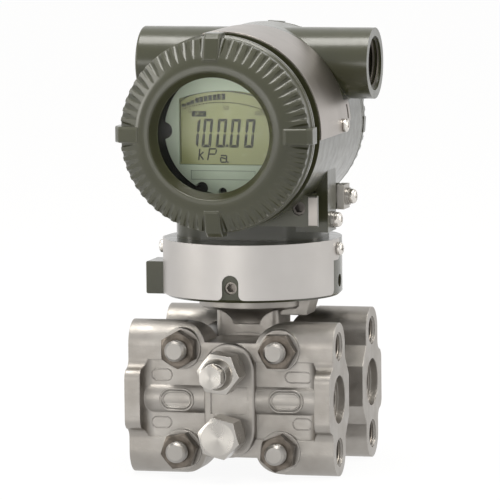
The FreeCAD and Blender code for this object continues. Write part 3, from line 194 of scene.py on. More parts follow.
world = bpy.data.worlds.new("sky")
bpy.context.scene.world = world
world.use_nodes = True
sky = world.node_tree
sky.nodes.clear()
direction = add_node(sky, "ShaderNodeTexCoord").outputs["Generated"]
rise = add_node(sky, "ShaderNodeSeparateXYZ", {0: direction}).outputs["Z"]
ramp = add_node(sky, "ShaderNodeValToRGB", {0: rise})
stops = ramp.color_ramp.elements
stops[0].position, stops[0].color = SKY_FOOT
stops[1].position, stops[1].color = SKY_TOP
stops.new(SKY_LOW[0]).color = SKY_LOW[1]
lit_sky = add_node(sky, "ShaderNodeBackground", {"Color": ramp.outputs[0]}, {"Strength": 1.0})
seen_sky = add_node(sky, "ShaderNodeBackground", values={"Color": WHITE})
both_skies = add_node(sky, "ShaderNodeMixShader",
                      {"Fac": seen_rays(sky), 1: lit_sky.outputs[0], 2: seen_sky.outputs[0]})
add_node(sky, "ShaderNodeOutputWorld", {"Surface": both_skies.outputs[0]})
print("sky bands", len(stops))

# %% [markdown]
# ## Floor
#
# The instrument stands on a wide white sheet. A painted sheet under these panels would
# come out grey, and stronger lamps would bleach the object. So most of what the eye sees
# of the floor is an even white glow, and the small rest is real paint that carries the
# shadow. The sheet lies a hair below the flanges, so that the two faces don't fight.

# %% Floor
FLOOR_HALF = 6
FLOOR_SQUARES = 4
FLOOR_GAP = 0.0002
FLOOR_COLOUR = (0.8, 0.79, 0.78, 1)
FLOOR_ROUGHNESS = 0.75
FLOOR_GLOW = 0.93

floor_mesh = bpy.data.meshes.new("floor")
floor_form = bmesh.new()
bmesh.ops.create_grid(floor_form, x_segments=FLOOR_SQUARES, y_segments=FLOOR_SQUARES,
                      size=FLOOR_HALF)
floor_form.to_mesh(floor_mesh)
floor_form.free()
floor = bpy.data.objects.new("floor", floor_mesh)
bpy.context.scene.collection.objects.link(floor)
floor.location.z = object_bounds()[0][2] - FLOOR_GAP

floor_paint = bpy.data.materials.new("floor_paint")
floor_paint.use_nodes = True
floor_tree = floor_paint.node_tree
painted = floor_tree.nodes["Principled BSDF"]
painted.inputs["Base Color"].default_value = FLOOR_COLOUR
painted.inputs["Roughness"].default_value = FLOOR_ROUGHNESS
glow = add_node(floor_tree, "ShaderNodeEmission", values={"Strength": 1.0})
share = add_node(floor_tree, "ShaderNodeMath", {0: seen_rays(floor_tree)}, {1: FLOOR_GLOW},
                 operation="MULTIPLY")
both_floors = add_node(floor_tree, "ShaderNodeMixShader", {
    "Fac": share.outputs[0], 1: painted.outputs[0], 2: glow.outputs[0]})
floor_tree.links.new(both_floors.outputs[0],
                     floor_tree.nodes["Material Output"].inputs["Surface"])
floor_mesh.materials.append(floor_paint)
print("floor at", floor.location.z)

# %% [markdown]
# ## Effects as node groups
#
# Four effects come back in many of the finishes here: slow clouds of colour, edges that
# are rounded and rubbed, a fine grain, and the rings a lathe leaves. Copying their nodes
# into each material would work, but then a repair has to be made many times. A node group
# is built once and placed with other numbers in each material, as one tool is used on
# many pieces. This helper makes an empty group with named sockets.

# %% Group maker
SOCKET_KINDS = {1: "NodeSocketFloat", 3: "NodeSocketVector", 4: "NodeSocketColor"}


def new_group(name, inputs, outputs):
    """An empty shader node group. The length of an input's default value tells its kind:
    a number, a vector of three or a colour of four."""
    tree = bpy.data.node_groups.new(name, "ShaderNodeTree")
    for label, value in inputs.items():
        size = len(value) if isinstance(value, tuple) else 1
        made = tree.interface.new_socket(label, in_out="INPUT", socket_type=SOCKET_KINDS[size])
        made.default_value = value
        if label == "Normal":
            made.hide_value = True
    for label, kind in outputs.items():
        tree.interface.new_socket(label, in_out="OUTPUT", socket_type="NodeSocket" + kind)
    given = tree.nodes.new("NodeGroupInput").outputs
    return tree, given, tree.nodes.new("NodeGroupOutput").inputs


def placed_noise(tree, given):
    """Noise in the object's own space, stretched by the group's Stretch input."""
    place = add_node(tree, "ShaderNodeTexCoord").outputs["Object"]
    spot = add_node(tree, "ShaderNodeMapping",
                    {"Vector": place, "Scale": given["Stretch"]}).outputs[0]
    return add_node(tree, "ShaderNodeTexNoise", {
        "Vector": spot, "Scale": given["Scale"], "Detail": given["Detail"]}).outputs["Fac"]


print("group maker ready")

# %% [markdown]
# ## Clouds
#
# No sprayed or blasted surface has one colour all over: it drifts a little within a
# centimetre or two. Noise in the object's own space does this without unwrapping the mesh.
# The same noise gives a colour between two colours, and a number between two limits that
# can vary the roughness. Noise stays near its middle, so the range is stretched first.

# %% Cloud group
EVEN = (1.0, 1.0, 1.0)
COLOUR_BAND = (0.35, 0.65)
VALUE_BAND = (0.3, 0.7)
# A Mix node's colour sockets share their names with its number sockets, so they are
# found by their place.
MIX_FIRST, MIX_SECOND, MIX_RESULT = 6, 7, 2

CLOUD, given, result = new_group(
    "cloud", {"Scale": 50.0, "Detail": 2.0, "Stretch": EVEN, "First": (0, 0, 0, 1),
              "Second": WHITE, "Least": 0.0, "Most": 1.0},
    {"Colour": "Color", "Value": "Float"})
cloud_mask = placed_noise(CLOUD, given)
cloud_share = add_node(CLOUD, "ShaderNodeMapRange", {"Value": cloud_mask},
                       {"From Min": COLOUR_BAND[0], "From Max": COLOUR_BAND[1]})
cloud_mix = add_node(CLOUD, "ShaderNodeMix", {
    "Factor": cloud_share.outputs[0], MIX_FIRST: given["First"],
    MIX_SECOND: given["Second"]}, data_type="RGBA")
cloud_value = add_node(CLOUD, "ShaderNodeMapRange", {
    "Value": cloud_mask, "To Min": given["Least"], "To Max": given["Most"]},
    {"From Min": VALUE_BAND[0], "From Max": VALUE_BAND[1]})
CLOUD.links.new(cloud_mix.outputs[MIX_RESULT], result["Colour"])
CLOUD.links.new(cloud_value.outputs[0], result["Value"])
print("cloud group", len(CLOUD.nodes), "nodes")

# %% [markdown]
# ## Soft edges
#
# A real edge is never a knife: a casting has a radius, a coating thins on it, and hands
# and tools rub it bright. A bevel modifier would change the mesh, which has to stay, so
# the Bevel node bends only the normal near an edge. Where the bent normal leaves the true
# one, there is an edge, and their dot product gives the mask for the paler colour. Onset
# is how far the two still agree where the edge counts in full.

# %% Soft edge group
BEVEL_SAMPLES = 4
EDGE, given, result = new_group("soft_edge", {"Radius": 0.0004, "Onset": 0.67},
                                {"Normal": "Vector", "Edge": "Float"})
rounded = add_node(EDGE, "ShaderNodeBevel", {"Radius": given["Radius"]},
                   samples=BEVEL_SAMPLES).outputs["Normal"]
true_normal = add_node(EDGE, "ShaderNodeNewGeometry").outputs["Normal"]
agreement = add_node(EDGE, "ShaderNodeVectorMath", {0: true_normal, 1: rounded},
                     operation="DOT_PRODUCT").outputs["Value"]
edge_mask = add_node(EDGE, "ShaderNodeMapRange",
                     {"Value": agreement, "From Max": given["Onset"]}, {"From Min": 1.0})
EDGE.links.new(rounded, result["Normal"])
EDGE.links.new(edge_mask.outputs[0], result["Edge"])
print("soft edge group", len(EDGE.nodes), "nodes")

# %% [markdown]
# ## Grain
#
# Orange peel in enamel, pits in a blasted casting and scratches in brushed sheet are all
# the same thing at other sizes: small heights over the surface. Displacement would need
# millions of faces, so noise drives a Bump node, whose distance is the real depth in
# metres. A long stretch turns round pits into scratches. The Normal input lets two sizes
# of grain lie one on the other.

# %% Grain group
FULL_BUMP = {"Strength": 1.0}
GRAIN, given, result = new_group(
    "grain", {"Scale": 900.0, "Detail": 2.0, "Stretch": EVEN, "Depth": 0.00001,
              "Normal": (0.0, 0.0, 0.0)}, {"Normal": "Vector"})
grain_bump = add_node(GRAIN, "ShaderNodeBump", {
    "Height": placed_noise(GRAIN, given), "Distance": given["Depth"],
    "Normal": given["Normal"]}, FULL_BUMP)
GRAIN.links.new(grain_bump.outputs[0], result["Normal"])
print("grain group", len(GRAIN.nodes), "nodes")

# %% [markdown]
# ## Lathe marks
#
# The tip of a lathe tool leaves rings about the axis of a turned face, a few tenths of a
# millimetre apart. A wave texture in ring mode has the same form, once the axis of the
# piece is moved to its middle. Its ring axis is a setting of the node and not a socket,
# so there is one group for each of the three axes. A little distortion keeps the rings
# from looking printed.

# %% Lathe mark groups
WAVE_PERIOD = math.pi / 10
RING_WOBBLE = 0.6
LATHE = {}
for axis in "XYZ":
    tree, given, result = new_group(
        "lathe_marks_" + axis, {"Centre": (0.0, 0.0, 0.0), "Pitch": 0.0003,
                                "Depth": 0.000003, "Normal": (0.0, 0.0, 0.0)},
        {"Normal": "Vector"})
    place = add_node(tree, "ShaderNodeTexCoord").outputs["Object"]
    offset = add_node(tree, "ShaderNodeVectorMath", {0: place, 1: given["Centre"]},
                      operation="SUBTRACT").outputs[0]
    bands = add_node(tree, "ShaderNodeMath", {1: given["Pitch"]}, {0: WAVE_PERIOD},
                     operation="DIVIDE").outputs[0]
    wave = add_node(tree, "ShaderNodeTexWave", {"Vector": offset, "Scale": bands},
                    {"Distortion": RING_WOBBLE}, wave_type="RINGS", rings_direction=axis)
    groove = add_node(tree, "ShaderNodeBump", {
        "Height": wave.outputs["Fac"], "Distance": given["Depth"],
        "Normal": given["Normal"]}, FULL_BUMP)
    tree.links.new(groove.outputs[0], result["Normal"])
    LATHE[axis] = tree
print("groups", [group.name for group in bpy.data.node_groups])

# %% [markdown]
# ## What every finish shares
#
# A finish is one Principled shader with groups in front of it. What is the same all over
# the surface, such as metal or coat, is set on the shader itself, and what changes over
# the surface comes from a group. A small class keeps the material, its tree and its
# shader together, so that each finish below is only its own recipe.

# %% Finish maker


class Finish:
    """One Principled material with groups in front of it."""

    def __init__(self, name, rough, metal=0.0, **fixed):
        self.material = bpy.data.materials.new(name)
        self.material.use_nodes = True
        self.tree = self.material.node_tree
        self.shader = self.tree.nodes["Principled BSDF"]
        self.shader.inputs["Roughness"].default_value = rough
        self.shader.inputs["Metallic"].default_value = metal
        for socket, value in fixed.items():
            self.shader.inputs[socket.replace("_", " ")].default_value = value

    def use(self, group, **given):
        """Places a group. An argument is a value or another node's output."""
        made = self.tree.nodes.new("ShaderNodeGroup")
        made.node_tree = group
        for socket, value in given.items():
            if isinstance(value, bpy.types.NodeSocket):
                self.tree.links.new(value, made.inputs[socket])
            else:
                made.inputs[socket].default_value = value
        return made.outputs

    def cloud_colour(self, scale, detail, first, second):
        return self.use(CLOUD, Scale=scale, Detail=detail, First=(*first, 1),
                        Second=(*second, 1))["Colour"]

    def cloud_value(self, scale, detail, least, most, stretch=EVEN):
        return self.use(CLOUD, Scale=scale, Detail=detail, Least=least, Most=most,
                        Stretch=stretch)["Value"]

    def worn(self, edge, colour, edge_colour):
        """The colour, with another colour along the edges."""
        made = add_node(self.tree, "ShaderNodeMix", {"Factor": edge, MIX_FIRST: colour},
                        {MIX_SECOND: (*edge_colour, 1)}, data_type="RGBA")
        return made.outputs[MIX_RESULT]

    def radial(self, axis):
        """Turns the stretch of the gloss round an axis."""
        tangent = add_node(self.tree, "ShaderNodeTangent", direction_type="RADIAL", axis=axis)
        self.tree.links.new(tangent.outputs[0], self.shader.inputs["Tangent"])

    def finish(self, colour, rough, normal):
        for socket, source in (("Base Color", colour), ("Roughness", rough),
                               ("Normal", normal)):
            self.tree.links.new(source, self.shader.inputs[socket])
        return self.material


print("finish maker ready")

# %% [markdown]
# ## Enamel
#
# The housing and its covers are aluminium castings under a thick moss green enamel. Its
# own colour is nearly black with a hint of green, and the soft shine on it makes it look
# lighter. A plain glossy colour would look like plastic. Here slow flow marks and a finer
# orange peel lie one on the other under a clear coat, and the enamel is paler where it
# thins on edges. The covers have the wider edge radius, because their ribs are rounder.

# %% Enamel


def enamel(name, edge_radius):
    made = Finish(name, 0.34, Coat_Weight=0.7, Coat_Roughness=0.2, Specular_IOR_Level=0.25)
    soft = made.use(EDGE, Radius=edge_radius, Onset=0.67)
    cloud = made.cloud_colour(scale=38, detail=3, first=(0.024, 0.025, 0.010),
                              second=(0.030, 0.031, 0.013))
    flow = made.use(GRAIN, Scale=160, Depth=0.00009, Normal=soft["Normal"])
    peel = made.use(GRAIN, Scale=1050, Detail=1, Depth=0.000018, Normal=flow["Normal"])
    return made.finish(made.worn(soft["Edge"], cloud, edge_colour=(0.07, 0.069, 0.045)),
                       made.cloud_value(scale=240, detail=2, least=0.28, most=0.4),
                       peel["Normal"])


PAINT = enamel("enamel", 0.00045)
COVER_PAINT = enamel("cover_enamel", 0.001)
print("enamels", PAINT.name, COVER_PAINT.name)

# %% [markdown]
# ## Blasted casting
#
# The flanges are stainless steel castings, blasted with fine shot, and the capsule between
# them has the same skin: dull silver, with soft hills and fine pits on top of them. One
# noise can't give both, so two grains of different size are stacked. The edges are
# brighter, because they are rubbed in handling.

# %% Blasted casting


def casting():
    made = Finish("blasted_casting", 0.4, metal=1.0)
    soft = made.use(EDGE, Radius=0.0006, Onset=0.6)
    cloud = made.cloud_colour(scale=55, detail=4, first=(0.30, 0.28, 0.255),
                              second=(0.37, 0.35, 0.325))
    hills = made.use(GRAIN, Scale=260, Detail=3, Depth=0.00012, Normal=soft["Normal"])
    pits = made.use(GRAIN, Scale=2300, Depth=0.00004, Normal=hills["Normal"])
    return made.finish(made.worn(soft["Edge"], cloud, edge_colour=(0.50, 0.48, 0.45)),
                       made.cloud_value(scale=180, detail=3, least=0.36, most=0.5),
                       pits["Normal"])


CAST = casting()
print("casting", CAST.name)

# %% [markdown]
# ## Turned steel
#
# Plugs, screws and studs come off a lathe. Their faces show a bright bow tie, because the
# rings stretch each reflection across themselves. That look needs anisotropy and a tangent
# that runs round the axis. Bump alone gives only the rings. The rings themselves are a few
# thousandths of a millimetre deep, just enough to break the light up.

# %% Turned steel


def turned(name, axis, centre, pitch=0.00032, colour=(0.45, 0.43, 0.40), rough=0.28):
    """Lathe steel about an axis through a centre in metres."""
    made = Finish(name, rough, metal=1.0, Anisotropic=0.85)
    made.radial(axis)
    soft = made.use(EDGE, Radius=0.0003)
    rings = made.use(LATHE[axis], Centre=centre, Pitch=pitch, Depth=0.0000025,
                     Normal=soft["Normal"])
    darker = [channel * 0.95 for channel in colour]
    return made.finish(made.cloud_colour(scale=90, detail=2, first=darker, second=colour),
                       made.cloud_value(scale=120, detail=2, least=rough - 0.02,
                                        most=rough + 0.04),
                       rings["Normal"])


STUD_STEEL = turned("bright_stud", "Y", (0, 0, 0), 0.0004, (0.33, 0.315, 0.295), 0.36)
print("turned", STUD_STEEL.name)

# %% [markdown]
# ## Brushed sheet
#
# The plates on the neck, the barrel and the adjuster are thin stainless sheet with a fine
# brushed finish. A brush leaves scratches that are long one way and very fine across. The
# grain group makes them from noise that is squeezed many times more across the scratches
# than along them, and noise of the same stretch varies the roughness. On the plates bent
# round the neck and the barrel the gloss turns with the curve, so an axis can be given.

# %% Brushed sheet


def satin(name, stretch, colour, other, rough, axis=None):
    """Brushed sheet. The largest stretch is the direction across the scratches."""
    made = Finish(name, rough, metal=1.0, Anisotropic=0.5)
    if axis:
        made.radial(axis)
    soft = made.use(EDGE, Radius=0.00025)
    scratches = made.use(GRAIN, Scale=1, Stretch=stretch, Depth=0.000003,
                         Normal=soft["Normal"])
    return made.finish(made.cloud_colour(scale=60, detail=2, first=colour, second=other),
                       made.cloud_value(scale=1, detail=2, least=rough - 0.03,
                                        most=rough + 0.06, stretch=stretch),
                       scratches["Normal"])


NECK_SHEET = satin("plate_steel", (60, 60, 5200), (0.47, 0.45, 0.43), (0.50, 0.48, 0.46),
                   0.36, "Z")
BARREL_SHEET = satin("data_sheet", (60, 5200, 60), (0.33, 0.30, 0.27),
                     (0.37, 0.335, 0.305), 0.34, "Y")
UPRIGHT_SHEET = satin("upright_sheet", (60, 3600, 90), (0.30, 0.28, 0.26),
                      (0.34, 0.32, 0.30), 0.34)
print("sheets", NECK_SHEET.name, BARREL_SHEET.name, UPRIGHT_SHEET.name)

# %% [markdown]
# ## Mouldings and rubber
#
# Rubber seals, the mint bezel, the board and the terminal block are moulded, with one
# colour that hardly drifts and a fine even grain from the mould. They differ only in
# colour, gloss and grain, so one recipe serves them all. The display is the smoothest of
# them. Its grain is two thousandths of a millimetre, so that it stays a sheet of glass.

# %% Mouldings


def plain(name, colour, other, rough, grain=900, depth=0.00001, metal=0.0):
    """An even surface: two close colours, a gloss, and grain with its depth in metres."""
    made = Finish(name, rough, metal=metal)
    soft = made.use(EDGE, Radius=0.0003)
    skin = made.use(GRAIN, Scale=grain, Depth=depth, Normal=soft["Normal"])
    return made.finish(made.cloud_colour(scale=70, detail=3, first=colour, second=other),
                       made.cloud_value(scale=200, detail=2, least=rough - 0.05,
                                        most=rough + 0.08),
                       skin["Normal"])


GLASSY = 0.000002
RUBBER = plain("rubber", (0.016, 0.016, 0.015), (0.028, 0.028, 0.026), 0.62)
MINT = plain("mint_moulding", (0.60, 0.69, 0.59), (0.65, 0.74, 0.64), 0.5, 1400, 0.000012)
DISPLAY = plain("display_face", (0.36, 0.375, 0.185), (0.40, 0.415, 0.21), 0.22, 600, GLASSY)
BOARD = plain("circuit_board", (0.02, 0.10, 0.045), (0.035, 0.14, 0.06), 0.4, 700)
PHENOLIC = plain("phenolic", (0.022, 0.022, 0.021), (0.035, 0.035, 0.033), 0.42, 800)
print("mouldings", RUBBER.name, MINT.name, DISPLAY.name, BOARD.name, PHENOLIC.name)

# %% [markdown]
# ## Dark nuts
#
# The nuts of the body bolts are high strength steel, oiled and nearly black, but a spanner
# has rubbed their corners bright. A metal of one dark colour would hide their six sides.
# The soft edge mask puts the bright steel along the edges, and its low onset asks for a
# strongly bent normal before the steel is fully bare.

# %% Dark nuts


def dark_nut():
    made = Finish("dark_nut", 0.36, metal=1.0)
    soft = made.use(EDGE, Radius=0.0005, Onset=0.5)
    cloud = made.cloud_colour(scale=240, detail=4, first=(0.075, 0.064, 0.053),
                              second=(0.15, 0.13, 0.11))
    skin = made.use(GRAIN, Scale=1400, Detail=3, Depth=0.00003, Normal=soft["Normal"])
    return made.finish(made.worn(soft["Edge"], cloud, edge_colour=(0.42, 0.39, 0.35)),
                       made.cloud_value(scale=600, detail=3, least=0.28, most=0.48),
                       skin["Normal"])


NUT_STEEL = dark_nut()
print("nuts", NUT_STEEL.name)

# %% [markdown]
# ## Window glass
#
# The window is a flat pane of clear glass in front of the display. Glass that bends light
# needs many bounces to show what is behind it, and a thin pane hardly bends it. So the
# pane lets light straight through and adds a mirror on top, weak when seen straight on
# and stronger at a slant, which is what Fresnel gives. A faint ripple keeps the mirror
# from looking ideal.

# %% Window glass
PANE_TINT = (0.97, 0.98, 0.96, 1)
PANE_GLOSS = 0.03
PANE_INDEX = 1.16


def window():
    made = Finish("window_glass", 0.02)
    tree = made.tree
    clear = add_node(tree, "ShaderNodeBsdfTransparent", values={"Color": PANE_TINT})
    straight = add_node(tree, "ShaderNodeNewGeometry").outputs["Normal"]
    ripple = made.use(GRAIN, Scale=25, Detail=1, Depth=0.00002, Normal=straight)
    gloss = add_node(tree, "ShaderNodeBsdfGlossy", {"Normal": ripple["Normal"]},
                     {"Roughness": PANE_GLOSS})
    slant = add_node(tree, "ShaderNodeFresnel", values={"IOR": PANE_INDEX})
    both = add_node(tree, "ShaderNodeMixShader", {
        0: slant.outputs[0], 1: clear.outputs[0], 2: gloss.outputs[0]})
    tree.links.new(both.outputs[0], tree.nodes["Material Output"].inputs["Surface"])
    return made.material


GLASS = window()
print("window", GLASS.name)

# %% [markdown]
# ## A finish for every piece
#
# The record names a material slot for each piece, so most pieces get their finish from
# one table. Some need their own: a turned plug's rings run about its own axis, so it can't
# share them with its neighbour, the covers have rounder edges, and small plates and screws
# are darker than the rest of their slot.

# %% A finish for every piece
FINISH = {
    "paint": PAINT,
    "cast_steel": CAST,
    "turned_steel": turned("turned_steel", "Z", (0, 0, 0)),
    "plate_steel": NECK_SHEET,
    "bolt_steel": NUT_STEEL,
    "stud_steel": STUD_STEEL,
    "rubber": RUBBER,
    "glass": GLASS,
    "bezel": MINT,
    "display": DISPLAY,
    "board": BOARD,
    "terminal": PHENOLIC,
}
for part in frame["record"]["subparts"]:
    holder = nodes[part["node"]]
    holder.data.materials.clear()
    holder.data.materials.append(FINISH[part["material_slot"]])


def middle(node):
    """The middle of a piece's box, in metres."""
    low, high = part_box(node)
    return tuple((a + b) / 2 for a, b in zip(low, high))


own_finish = {"front_cover": COVER_PAINT, "rear_cover": COVER_PAINT,
              "data_plate": BARREL_SHEET, "adjuster_plate": UPRIGHT_SHEET}
for side in ("high", "low"):
    for plug in ("vent_plug", "drain_plug", "vent_screw"):
        name = f"{side}_side_{plug}"
        own_finish[name] = turned(name + "_steel", "Y", middle(name))
own_finish["zero_adjust_screw"] = turned("dark_screw", "Y", middle("zero_adjust_screw"),
                                         0.0004, (0.12, 0.11, 0.10), 0.34)
own_finish["neck_set_screws"] = turned("set_screw", "Y", (0, 0, 0.0735), 0.0004,
                                       (0.22, 0.20, 0.18), 0.34)
for name, material in own_finish.items():
    nodes[name].data.materials[0] = material
print("finishes", len(bpy.data.materials))

# %% [markdown]
# ## Building in millimetres
#
# The fine pieces are a few tenths of a millimetre thick, so their sizes are easier to read
# in millimetres. Each is built as a bmesh, which takes vertices and faces directly, and
# this helper turns it into metres, gives it a material and lets it ride on its CAD body,
# so that it moves with the piece it is on.

# %% Piece maker


def settle(name, form, body, material):
    """Turns a bmesh in millimetres into a piece that rides on a CAD body."""
    bmesh.ops.scale(form, vec=(MM, MM, MM), verts=form.verts)
    bmesh.ops.recalc_face_normals(form, faces=form.faces)
    mesh = bpy.data.meshes.new(name)
    form.to_mesh(mesh)
    form.free()
    mesh.materials.append(material)
    piece = bpy.data.objects.new(name, mesh)
    bpy.context.scene.collection.objects.link(piece)
    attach(piece, body)
    print(name, "faces", len(mesh.polygons))
    return piece


print("piece maker ready")

# %% [markdown]
# ## Marks on the display
#
# The marks are dark liquid crystal under glass: flat shapes with clean ends. Text objects
# would bring in a font, and this display has its own segments. So every mark is a thin
# prism from its corners, and every line is a row of such prisms. They stand a few
# hundredths of a millimetre in front of the display, so that they never share its face.

# %% Flat marks and strokes


def flat_mark(form, outline, y, rise):
    """A thin prism on a plane that faces -Y, from a list of x, z corners."""
    rear = [form.verts.new((x, y, z)) for x, z in outline]
    front = [form.verts.new((x, y - rise, z)) for x, z in outline]
    form.faces.new(front)
    form.faces.new(rear[::-1])
    for i in range(len(outline)):
        j = (i + 1) % len(outline)
        form.faces.new((front[i], rear[i], rear[j], front[j]))


def stroke(form, points, width, y, rise):
    """A line of even width through x, z points, each run its own thin prism."""
    for (x0, z0), (x1, z1) in zip(points, points[1:]):
        run = math.hypot(x1 - x0, z1 - z0)
        ax, az = (x1 - x0) / run * width / 2, (z1 - z0) / run * width / 2
        flat_mark(form, [(x0 - ax + az, z0 - az - ax), (x1 + ax + az, z1 + az - ax),
                         (x1 + ax - az, z1 + az + ax), (x0 - ax - az, z0 - az + ax)],
                  y, rise)


FACE_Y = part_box("lcd_panel")[0][1] / MM
print("display face at", FACE_Y)

# %% [markdown]
# ## Liquid crystal
#
# Crystal that is switched on is nearly black with some of the olive of the reflector
# behind it. The thin scale is printed fainter. Both are smooth, because they lie under
# glass.

# %% Liquid crystal
# The dark crystal finish also paints the shade line along the top and left of the display.
CRYSTAL_AND_SHADE = plain("liquid_crystal", (0.018, 0.020, 0.012), (0.026, 0.028, 0.018), 0.3, 700,
                GLASSY)
CRYSTAL_FAINT = plain("liquid_crystal_faint", (0.085, 0.09, 0.05), (0.10, 0.106, 0.06), 0.3,
                      700, GLASSY)
print("crystal", CRYSTAL_AND_SHADE.name, CRYSTAL_FAINT.name)

# %% [markdown]
# ## Bar graph
#
# Ten bars along a shallow arc show the reading at a glance, and they grow taller to the
# right. An array modifier would make them all alike, so each has its own place and height.
# The arc is a parabola, which is close enough to a circle over so little height.

# %% Bar graph
MARK_RISE = 0.05
BAR_CROWN, BAR_FALL, BAR_CROWN_X = 147.15, 0.0108, -0.3
BAR_HALF = 0.72
BAR_SLOPE = 0.02
BARS = {-17.1: 1.3, -15.3: 1.3, -13.7: 1.6, -11.8: 2.05, -10.1: 2.05, -8.3: 2.05,
        -6.5: 2.1, -4.7: 2.2, -3.0: 2.3, -1.2: 2.35}


def arc_height(x, crown, fall, crown_x):
    """The height at x of a shallow arc that is highest at crown_x."""
    return crown - fall * (x - crown_x) ** 2


marks = bmesh.new()
for x, height in BARS.items():
    low = arc_height(x, BAR_CROWN, BAR_FALL, BAR_CROWN_X)
    flat_mark(marks, [(x - BAR_HALF, low - BAR_SLOPE), (x + BAR_HALF, low + BAR_SLOPE),
                      (x + BAR_HALF, low + height + BAR_SLOPE),
                      (x - BAR_HALF, low + height - BAR_SLOPE)], FACE_Y, MARK_RISE)
print("bars", len(BARS))

# %% [markdown]
# ## The reading
#
# The large number is made of seven segments that lean to the right, with mitred ends and
# hairline gaps between them. Each segment is a flat mark. The left side is drawn and
# mirrored to the right, and then every corner is shifted by its height to give the lean.
# The same helper draws the tiny numbers on the scale.

# %% Seven-segment digits
SEGMENTS_ON = {"0": "abcdef", "1": "bc", "5": "afgcd"}


def digit(form, sign, x, z, width, height, line, rise, lean, gap):
    """A seven-segment digit whose lower left corner is at x, z."""
    middle_z = z + height / 2
    half = line / 2
    right_x, top = x + width, z + height
    shapes = {
        "a": [(x + gap, top), (right_x - gap, top), (right_x - line - gap, top - line),
              (x + line + gap, top - line)],
        "d": [(x + line + gap, z + line), (right_x - line - gap, z + line),
              (right_x - gap, z), (x + gap, z)],
        "g": [(x + half + gap, middle_z), (x + line + gap, middle_z + half),
              (right_x - line - gap, middle_z + half), (right_x - half - gap, middle_z),
              (right_x - line - gap, middle_z - half), (x + line + gap, middle_z - half)],
        "f": [(x, top - gap), (x + line, top - line - gap),
              (x + line, middle_z + half + gap), (x + half, middle_z + gap),
              (x, middle_z + half + gap)],
        "e": [(x, middle_z - half - gap), (x + half, middle_z - gap),
              (x + line, middle_z - half - gap), (x + line, z + line + gap), (x, z + gap)],
    }
    for left, opposite in (("f", "b"), ("e", "c")):
        shapes[opposite] = [(2 * x + width - px, pz) for px, pz in shapes[left]][::-1]
    for name in SEGMENTS_ON[sign]:
        leaning = [(px + (pz - z) * lean, pz) for px, pz in shapes[name]]
        flat_mark(form, leaning, FACE_Y, rise)


READING_FOOT = 128.6
READING = dict(width=3.75, height=11.15, line=1.1, rise=MARK_RISE, lean=0.11, gap=0.12)
for sign, x in (("1", -15.34), ("0", -10.21), ("0", -4.57), ("0", 0.89), ("0", 6.71)):
    digit(marks, sign, x, READING_FOOT, **READING)
POINT = [(-0.5, 128.75), (0.5, 128.75), (0.6, 129.85), (-0.4, 129.85)]
flat_mark(marks, POINT, FACE_Y, MARK_RISE)
print("reading done, faces", len(marks.faces))

# %% [markdown]
# ## Unit, mode field and shade line
#
# Under the reading stands its unit, kPa, in plain slanted strokes, and above it a small
# solid field tells the mode. A thin dark line along the top and down the left of the
# display is painted shade, the shadow of the display's recessed edge. All of them are
# strokes and flat marks on the same plane, and with the bars and the reading they are one
# piece.

# %% Unit, mode field and shade line
UNIT_LINE = 0.55
LETTER_K = ([(-11.3, 123.9), (-10.9, 127.7)], [(-9.6, 126.6), (-10.9, 125.5)],
            [(-10.5, 125.2), (-9.6, 124.0)])
LETTER_P = ([(-7.7, 123.9), (-6.9, 128.0)], [(-6.4, 128.05), (-4.6, 128.05)],
            [(-4.2, 127.6), (-4.45, 126.5)], [(-7.0, 126.0), (-4.9, 126.0)])
LETTER_A = ([(-2.2, 125.5), (-0.5, 125.5)], [(-0.15, 125.2), (-0.3, 123.2)],
            [(-2.6, 124.4), (-2.5, 123.3)], [(-2.1, 122.9), (-0.7, 122.9)],
            [(-2.2, 124.7), (-0.7, 124.3)], [(-0.2, 123.1), (0.4, 122.9)])
MODE_FIELD = [(-13.9, 140.5), (-8.15, 140.5), (-8.15, 142.65), (-13.9, 142.65)]
SHADE_LINE_RISE = 0.04
SHADE_LINE_DROP = 0.45
TOP_SHADE_WIDTH, LEFT_SHADE_WIDTH = 0.4, 0.3
SHADE_LINE_TOP = [(-18.45, 146.9), (-15.6, 148.75), (-12.14, 149.75), (-7.6, 150.55),
              (-3.03, 150.95), (0.6, 150.95), (4.23, 150.5), (7.7, 149.95),
              (11.11, 149.2), (14.4, 148.2), (17.4, 146.95)]
SHADE_LINE_LEFT = [(-18.4, 146.6), (-18.4, 123.0)]

for line in LETTER_K + LETTER_P + LETTER_A:
    stroke(marks, line, UNIT_LINE, FACE_Y, MARK_RISE)
flat_mark(marks, MODE_FIELD, FACE_Y, MARK_RISE)
# The two lines along the top and the left edge are painted shade, in the dark crystal finish.
stroke(marks, [(x, z - SHADE_LINE_DROP) for x, z in SHADE_LINE_TOP], TOP_SHADE_WIDTH, FACE_Y,
       SHADE_LINE_RISE)
stroke(marks, SHADE_LINE_LEFT, LEFT_SHADE_WIDTH, FACE_Y, SHADE_LINE_RISE)
settle("display_marks", marks, "housing", CRYSTAL_AND_SHADE)

# %% [markdown]
# ## Scale
#
# Under the bars runs a hairline arc with nine ticks, a longer one in the middle, and the
# numbers 0, 50 and 100 with a percent sign. It is fainter than the marks, so it is its own
# piece with its own finish. The arc is cut into short straight runs, fine enough to look
# round at this size.

# %% Scale
SCALE_RISE = 0.045
SCALE_CROWN, SCALE_FALL, SCALE_MIDDLE = 146.15, 0.0109, -1.5
SCALE_START, SCALE_RUN, SCALE_PARTS = -17.7, 33.3, 24
TICKS = (-16.7, -13.0, -9.2, -5.3, SCALE_MIDDLE, 2.3, 6.2, 10.0, 13.7)
ARC_LINE, TICK_LINE, DOT_LINE = 0.26, 0.2, 0.35
SHORT_TICK, LONG_TICK = 0.55, 1.0
SCALE_DIGIT = dict(width=0.95, height=1.6, line=0.26, rise=SCALE_RISE, lean=0.1, gap=0.02)
DIGIT_STEP = 1.25
PERCENT_DOTS = ((14.55, 142.65), (15.4, 141.55))
PERCENT_BAR = [(14.45, 141.4), (15.5, 142.8)]
DOT_HALF = 0.12

